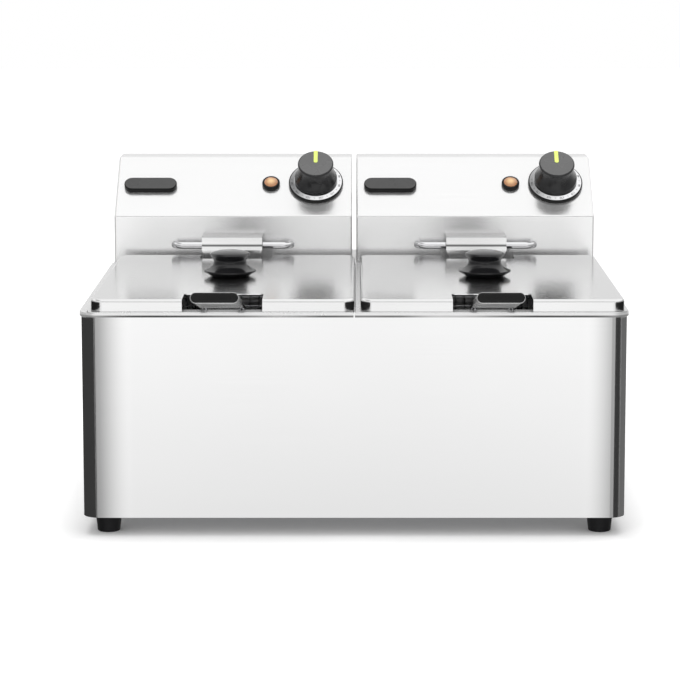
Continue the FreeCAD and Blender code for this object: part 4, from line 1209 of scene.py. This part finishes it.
@dataclass
class FryingUnit:
    """One tank with its lid and basket. The inset of the basket's rings is in thicknesses of its wire."""

    wardrobe: Wardrobe
    side: Side
    tank_colour: Colour = (0.70, 0.70, 0.70)
    lip_height: float = 4.0 * MM
    wire: float = 1.2 * MM
    pitch: float = 8.0 * MM
    corner: float = 20.0 * MM
    bottom_round: float = 10.0 * MM
    bend_steps: int = 4
    ring_steps: int = 5
    ring_inset: float = 1.5
    grip_thickness: float = 7.6 * MM
    grip_slope: float = math.radians(11.7)
    rim_wire: float = 0.45 * MM
    rim_inset: float = 1.5 * MM

    def build(self) -> None:
        """Dress the unit's nodes, weave its basket and rim its grip with a bright wire that also stands in
        for its edge highlight.
        """
        finishes = {"lid_cover": POLISHED, "lid_knob": GLOSS_BLACK, "lid_knob_screw": SCREWS,
                    "basket_frame": PLATED, "basket_grip": DEEP_BLACK}
        for name, finish in finishes.items():
            self.wardrobe.dress_node(self.side.node(name), finish)
        self.dress_tank()
        self.weave_basket()
        self.rim_grip_highlight()

    def dress_tank(self) -> None:
        """Give the tank its drawn steel and the painted shadow under its lip, measured from its own lip."""
        middle, half = middle_of(self.side.node("tank"))
        drawn = LippedSheet(self.side.node("drawn_tank"), self.tank_colour, roughness=0.26, streak=0.025,
                            grain=Grain.DRAWN, mirror=0.6, centre=tuple(middle), half_width=half.x,
                            half_depth=half.y, lip_low=half.z - self.lip_height)
        self.wardrobe.dress_node(self.side.node("tank"), drawn)

    def rim_grip_highlight(self) -> None:
        """A thin polished wire round the grip's front end, also standing in for the edge highlight of the
        black grip.
        """
        low, high = box_of(self.side.node("basket_grip"))
        forward = Vector((0, -math.cos(self.grip_slope), math.sin(self.grip_slope)))
        up = Vector((0, math.sin(self.grip_slope), math.cos(self.grip_slope))) * (self.grip_thickness / 2)
        tip = Vector(((low.x + high.x) / 2, low.y + up.y, high.z - up.z))
        middle = tip - forward * self.rim_inset
        out = Vector((up.length, 0, 0))
        run = Vector(((high.x - low.x) / 2, 0, 0)) - out
        path = []
        for end, start, turn in ((run, up, out), (run, out, -up), (-run, -up, -out), (-run, -out, up)):
            path += quarter(middle + end, start, turn, self.bend_steps)
        # The rim is a real polished wire that also stands in for the grip's edge highlight.
        rim = round_wires(self.side.node("grip_rim"), [path], self.rim_wire, closed=True)
        self.wardrobe.hang(rim, POLISHED, self.side.node("basket_unit"), "polished_steel")

    def weave_basket(self) -> None:
        """Wire cloth in place of the basket's plain walls: bent wires both ways and level rings."""
        middle, half = middle_of(self.side.node("basket_mesh"))
        skin = self.wire / 2
        floor, top = middle.z - half.z, middle.z + half.z - skin
        east, north = Vector((1, 0, 0)), Vector((0, 1, 0))
        turned = Vector((half.y, half.x, half.z))
        paths = self.bent_wires(middle, half, east, north, floor + skin, top)
        paths += self.bent_wires(middle, turned, north, east, floor + skin + self.wire, top)
        cloth = round_wires(self.side.node("basket_cloth"), paths, skin)
        paths = self.rings(middle, half, floor, top)
        rings = round_wires(self.side.node("basket_rings"), paths, skin, closed=True)
        for piece in (cloth, rings):
            self.wardrobe.hang(piece, PLATED, self.side.node("basket_unit"), "wire_steel")
        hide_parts(self.side.node("basket_mesh"))

    def bent_wires(self, middle: Vector, half: Vector, across: Vector, along: Vector,
                   floor: float, top: float) -> list[list[Vector]]:
        """Wires side by side that run down one wall, under the floor and up the other.

        Args:
            middle: the basket's middle.
            half: half its size across and along the wires' row.
            across: the way from wire to wire.
            along: the way that each wire runs.
            floor: height of the wires' middle lines at the floor.
            top: height of their ends.

        Returns:
            The middle line of each wire.
        """
        count = int((2 * half.x - self.corner) / self.pitch)
        bend = self.bottom_round
        paths = []
        for index in range(count + 1):
            offset = (index - count / 2) * self.pitch
            into = max(0.0, abs(offset) - (half.x - self.corner))
            reach = half.y - self.wire / 2 - self.corner + math.sqrt(self.corner ** 2 - into ** 2)
            base = Vector((middle.x, middle.y, 0)) + across * offset
            heel = base + UP * (floor + bend)
            front = heel - along * (reach - bend)
            back = heel + along * (reach - bend)
            path = [base - along * reach + UP * top]
            path += quarter(front, -along * bend, -UP * bend, self.bend_steps)
            path += quarter(back, -UP * bend, along * bend, self.bend_steps)
            path.append(base + along * reach + UP * top)
            paths.append(path)
        return paths

    def rings(self, middle: Vector, half: Vector, floor: float, top: float) -> list[list[Vector]]:
        """Level rings inside the upright wires.

        Args:
            middle: the basket's middle.
            half: half its size.
            floor: height of its underside.
            top: height that the rings stay below.

        Returns:
            The middle line of each ring, from the floor's bend upwards.
        """
        inset = self.ring_inset * self.wire
        bend = self.corner - inset
        x, y = half.x - inset - bend, half.y - inset - bend
        east, north = Vector((bend, 0, 0)), Vector((0, bend, 0))
        corners = (((x, y, 0), east, north), ((-x, y, 0), north, -east),
                   ((-x, -y, 0), -east, -north), ((x, -y, 0), -north, east))
        paths = []
        for index in range(int((top - floor - self.bottom_round) / self.pitch)):
            centre = Vector((middle.x, middle.y, floor + self.bottom_round + index * self.pitch))
            path = []
            for place, start, end in corners:
                path += quarter(centre + Vector(place), start, end, self.ring_steps)
            paths.append(path)
        return paths


@dataclass
class ControlHead:
    """One control head with everything on and in it."""

    wardrobe: Wardrobe
    side: Side
    ring_colour: Colour = (0.78, 0.78, 0.79)
    ring_outer: float = 23.7 * MM
    ring_outer_height: float = 3.3 * MM
    ring_inner: float = 20.0 * MM
    ring_inner_height: float = 4.6 * MM
    number_height: float = 3.0 * MM
    number_rounding: int = 2
    number_first: int = 50
    number_last: int = 190
    number_step: int = 20
    number_start: float = math.radians(43.0)
    number_turn: float = math.radians(31.0)
    tick_width: float = 0.3 * MM
    tick_length: float = 1.3 * MM
    ink_lift: float = 0.04 * MM
    knob_colour: Colour = (0.014, 0.014, 0.015)
    knob_top_reflection: Colour = (0.11, 0.11, 0.11)
    badge_colour: Colour = (0.004, 0.004, 0.004)
    badge_top: Colour = (0.075, 0.075, 0.075)
    cap_skin: float = 0.02 * MM
    guard_colour: Colour = (0.74, 0.74, 0.74)
    lens_heart: Colour = (0.97, 0.70, 0.35)
    lens_edge: Colour = (0.42, 0.18, 0.07)
    lens_radius: float = 6.0 * MM
    screw_head: float = 3.0 * MM
    screw_head_height: float = 1.8 * MM
    screw_shank: float = 1.5 * MM

    def build(self) -> None:
        """Dress the head's nodes, mark its dial and screw on its back."""
        finishes = {"head_housing": SATIN_TOP, "head_back_cover": PLAIN,
                    "basket_rail": PLATED, "heating_element": TINTED,
                    "thermostat_bulb": COPPER, "thermostat": PHENOLIC, "thermostat_spindle": SCREWS,
                    "dial_bezel": DEEP_BLACK, "knob_pointer": POINTER, "pilot_bezel": DEEP_BLACK,
                    "safety_cutout": PHENOLIC, "reset_button": RED,
                    "terminal_block": STEATITE, "cable_gland": BLACK}
        for name, finish in finishes.items():
            self.wardrobe.dress_node(self.side.node(name), finish)
        self.dress_guard()
        self.dress_badge()
        self.dress_dial()
        self.dress_lens()
        self.mark_dial()
        CrossScrews(self.wardrobe, self.side.node("head_screws"), self.side.node("head_unit"),
                    self.screw_head, self.screw_head_height, self.screw_shank, Vector((0, 1, 0))).build()

    def mark_dial(self) -> None:
        """Plain numbers and ticks in ink round the dial's sloping ring."""
        form = bmesh.new()
        tick = Matrix.Diagonal((self.tick_width, self.tick_length, 2 * self.ink_lift, 1.0))
        numbers = range(self.number_first, self.number_last + 1, self.number_step)
        for index, number in enumerate(numbers):
            turn = self.number_start + index * self.number_turn
            text = self.number_mesh(str(number))
            text.transform(self.on_ring(turn))
            form.from_mesh(text)
            bpy.data.meshes.remove(text)
            bmesh.ops.create_cube(form, size=1.0, matrix=self.on_ring(turn + self.number_turn / 2) @ tick)
        marks = finished(self.side.node("dial_marks"), form)
        self.wardrobe.hang(marks, INK, self.side.node("head_unit"), "black_plastic")

    def number_mesh(self, text: str) -> bpy.types.Mesh:
        """A number as a thin mesh about its own middle.

        Args:
            text: the number's digits.

        Returns:
            The mesh.
        """
        curve = bpy.data.curves.new("number", "FONT")
        curve.body = text
        curve.size = self.number_height
        curve.extrude = self.ink_lift
        curve.resolution_u = self.number_rounding
        curve.align_x = "CENTER"
        curve.align_y = "CENTER"
        return mesh_of(curve)

    def on_ring(self, turn: float) -> Matrix:
        """A place on the dial's sloping ring.

        Args:
            turn: how far round, clockwise from the top, in radians.

        Returns:
            The place, with Y outwards along the slope and Z off the surface.
        """
        centre, normal = self.dial_axis()
        across = Vector((1, 0, 0))
        ray = normal.cross(across) * math.cos(turn) + across * math.sin(turn)
        outer = ray * self.ring_outer + normal * self.ring_outer_height
        inner = ray * self.ring_inner + normal * self.ring_inner_height
        slope = (outer - inner).normalized()
        side = slope.cross(normal).normalized()
        face = side.cross(slope)
        place = Matrix((side, slope, face)).transposed().to_4x4()
        place.translation = centre + (outer + inner) / 2 + face * self.ink_lift
        return place

    def dial_axis(self) -> tuple[Vector, Vector]:
        """The middle of the dial on the panel, and the way that the panel faces."""
        joint = next(item for item in frame["joints"] if item["name"] == self.side.node("knob_turn"))
        return Vector(joint["pos_m"]), -Vector(joint["axis"]).normalized()

    def cap(self, name: str) -> dict[str, object]:
        """Where the flat top of a node on the sloping panel lies.

        Args:
            name: the node, without its side.

        Returns:
            The centre, normal and top of a capped finish.
        """
        centre, normal = self.dial_axis()
        points = frame["nodes"][self.side.node(name)].data.vertices
        top = max((point.co - centre).dot(normal) for point in points)
        return {"centre": tuple(centre), "normal": tuple(normal), "top": top - self.cap_skin}

    def dress_dial(self) -> None:
        """Spin the dial's bright ring about its own middle, and paint the knob's flat top grey as a painted
        reflection of the light overhead.
        """
        centre = tuple(self.dial_axis()[0])
        ring = SpunRing(self.side.node("dial_ring"), self.ring_colour, centre, self.ring_outer)
        self.wardrobe.dress_node(self.side.node("dial_scale"), ring)
        # Painted reflection: the knob's flat top is grey where it mirrors the light overhead.
        knob = CappedPlastic(self.side.node("knob_moulding"), self.knob_colour, roughness=0.26,
                             top_colour=self.knob_top_reflection, **self.cap("control_knob"))
        self.wardrobe.dress_node(self.side.node("control_knob"), knob)

    def dress_badge(self) -> None:
        """Give the bare badge its black edge and a paler face."""
        badge = CappedPlastic(self.side.node("badge_moulding"), self.badge_colour, roughness=0.3,
                              specular=0.2, top_colour=self.badge_top, **self.cap("badge_plate"))
        self.wardrobe.dress_node(self.side.node("badge_plate"), badge)

    def dress_guard(self) -> None:
        """Give the guard its folded strap, with painted dark reflections below its own top and painted shade
        on its top face.
        """
        top = box_of(self.side.node("element_guard"))[1].z
        strap = CreasedSheet(self.side.node("guard_strap"), self.guard_colour, roughness=0.16, streak=0.03,
                             grain=Grain.ALONG_X, mirror=0.85, top=top)
        self.wardrobe.dress_node(self.side.node("element_guard"), strap)

    def dress_lens(self) -> None:
        """Give the pilot lamp's lens its own heart."""
        middle = tuple(middle_of(self.side.node("pilot_lens"))[0])
        lens = AmberLens(self.side.node("amber_lens"), self.lens_heart, self.lens_edge, middle,
                         self.lens_radius)
        self.wardrobe.dress_node(self.side.node("pilot_lens"), lens)


def main() -> None:
    """Build the studio and dress every sub-assembly in order."""
    logging.basicConfig(level=logging.INFO, format="%(name)s: %(message)s")
    Studio().build()
    wardrobe = Wardrobe()
    Casing(wardrobe).build()
    for side in Side:
        FryingUnit(wardrobe, side).build()
        ControlHead(wardrobe, side).build()


if __name__ == "__main__":
    main()
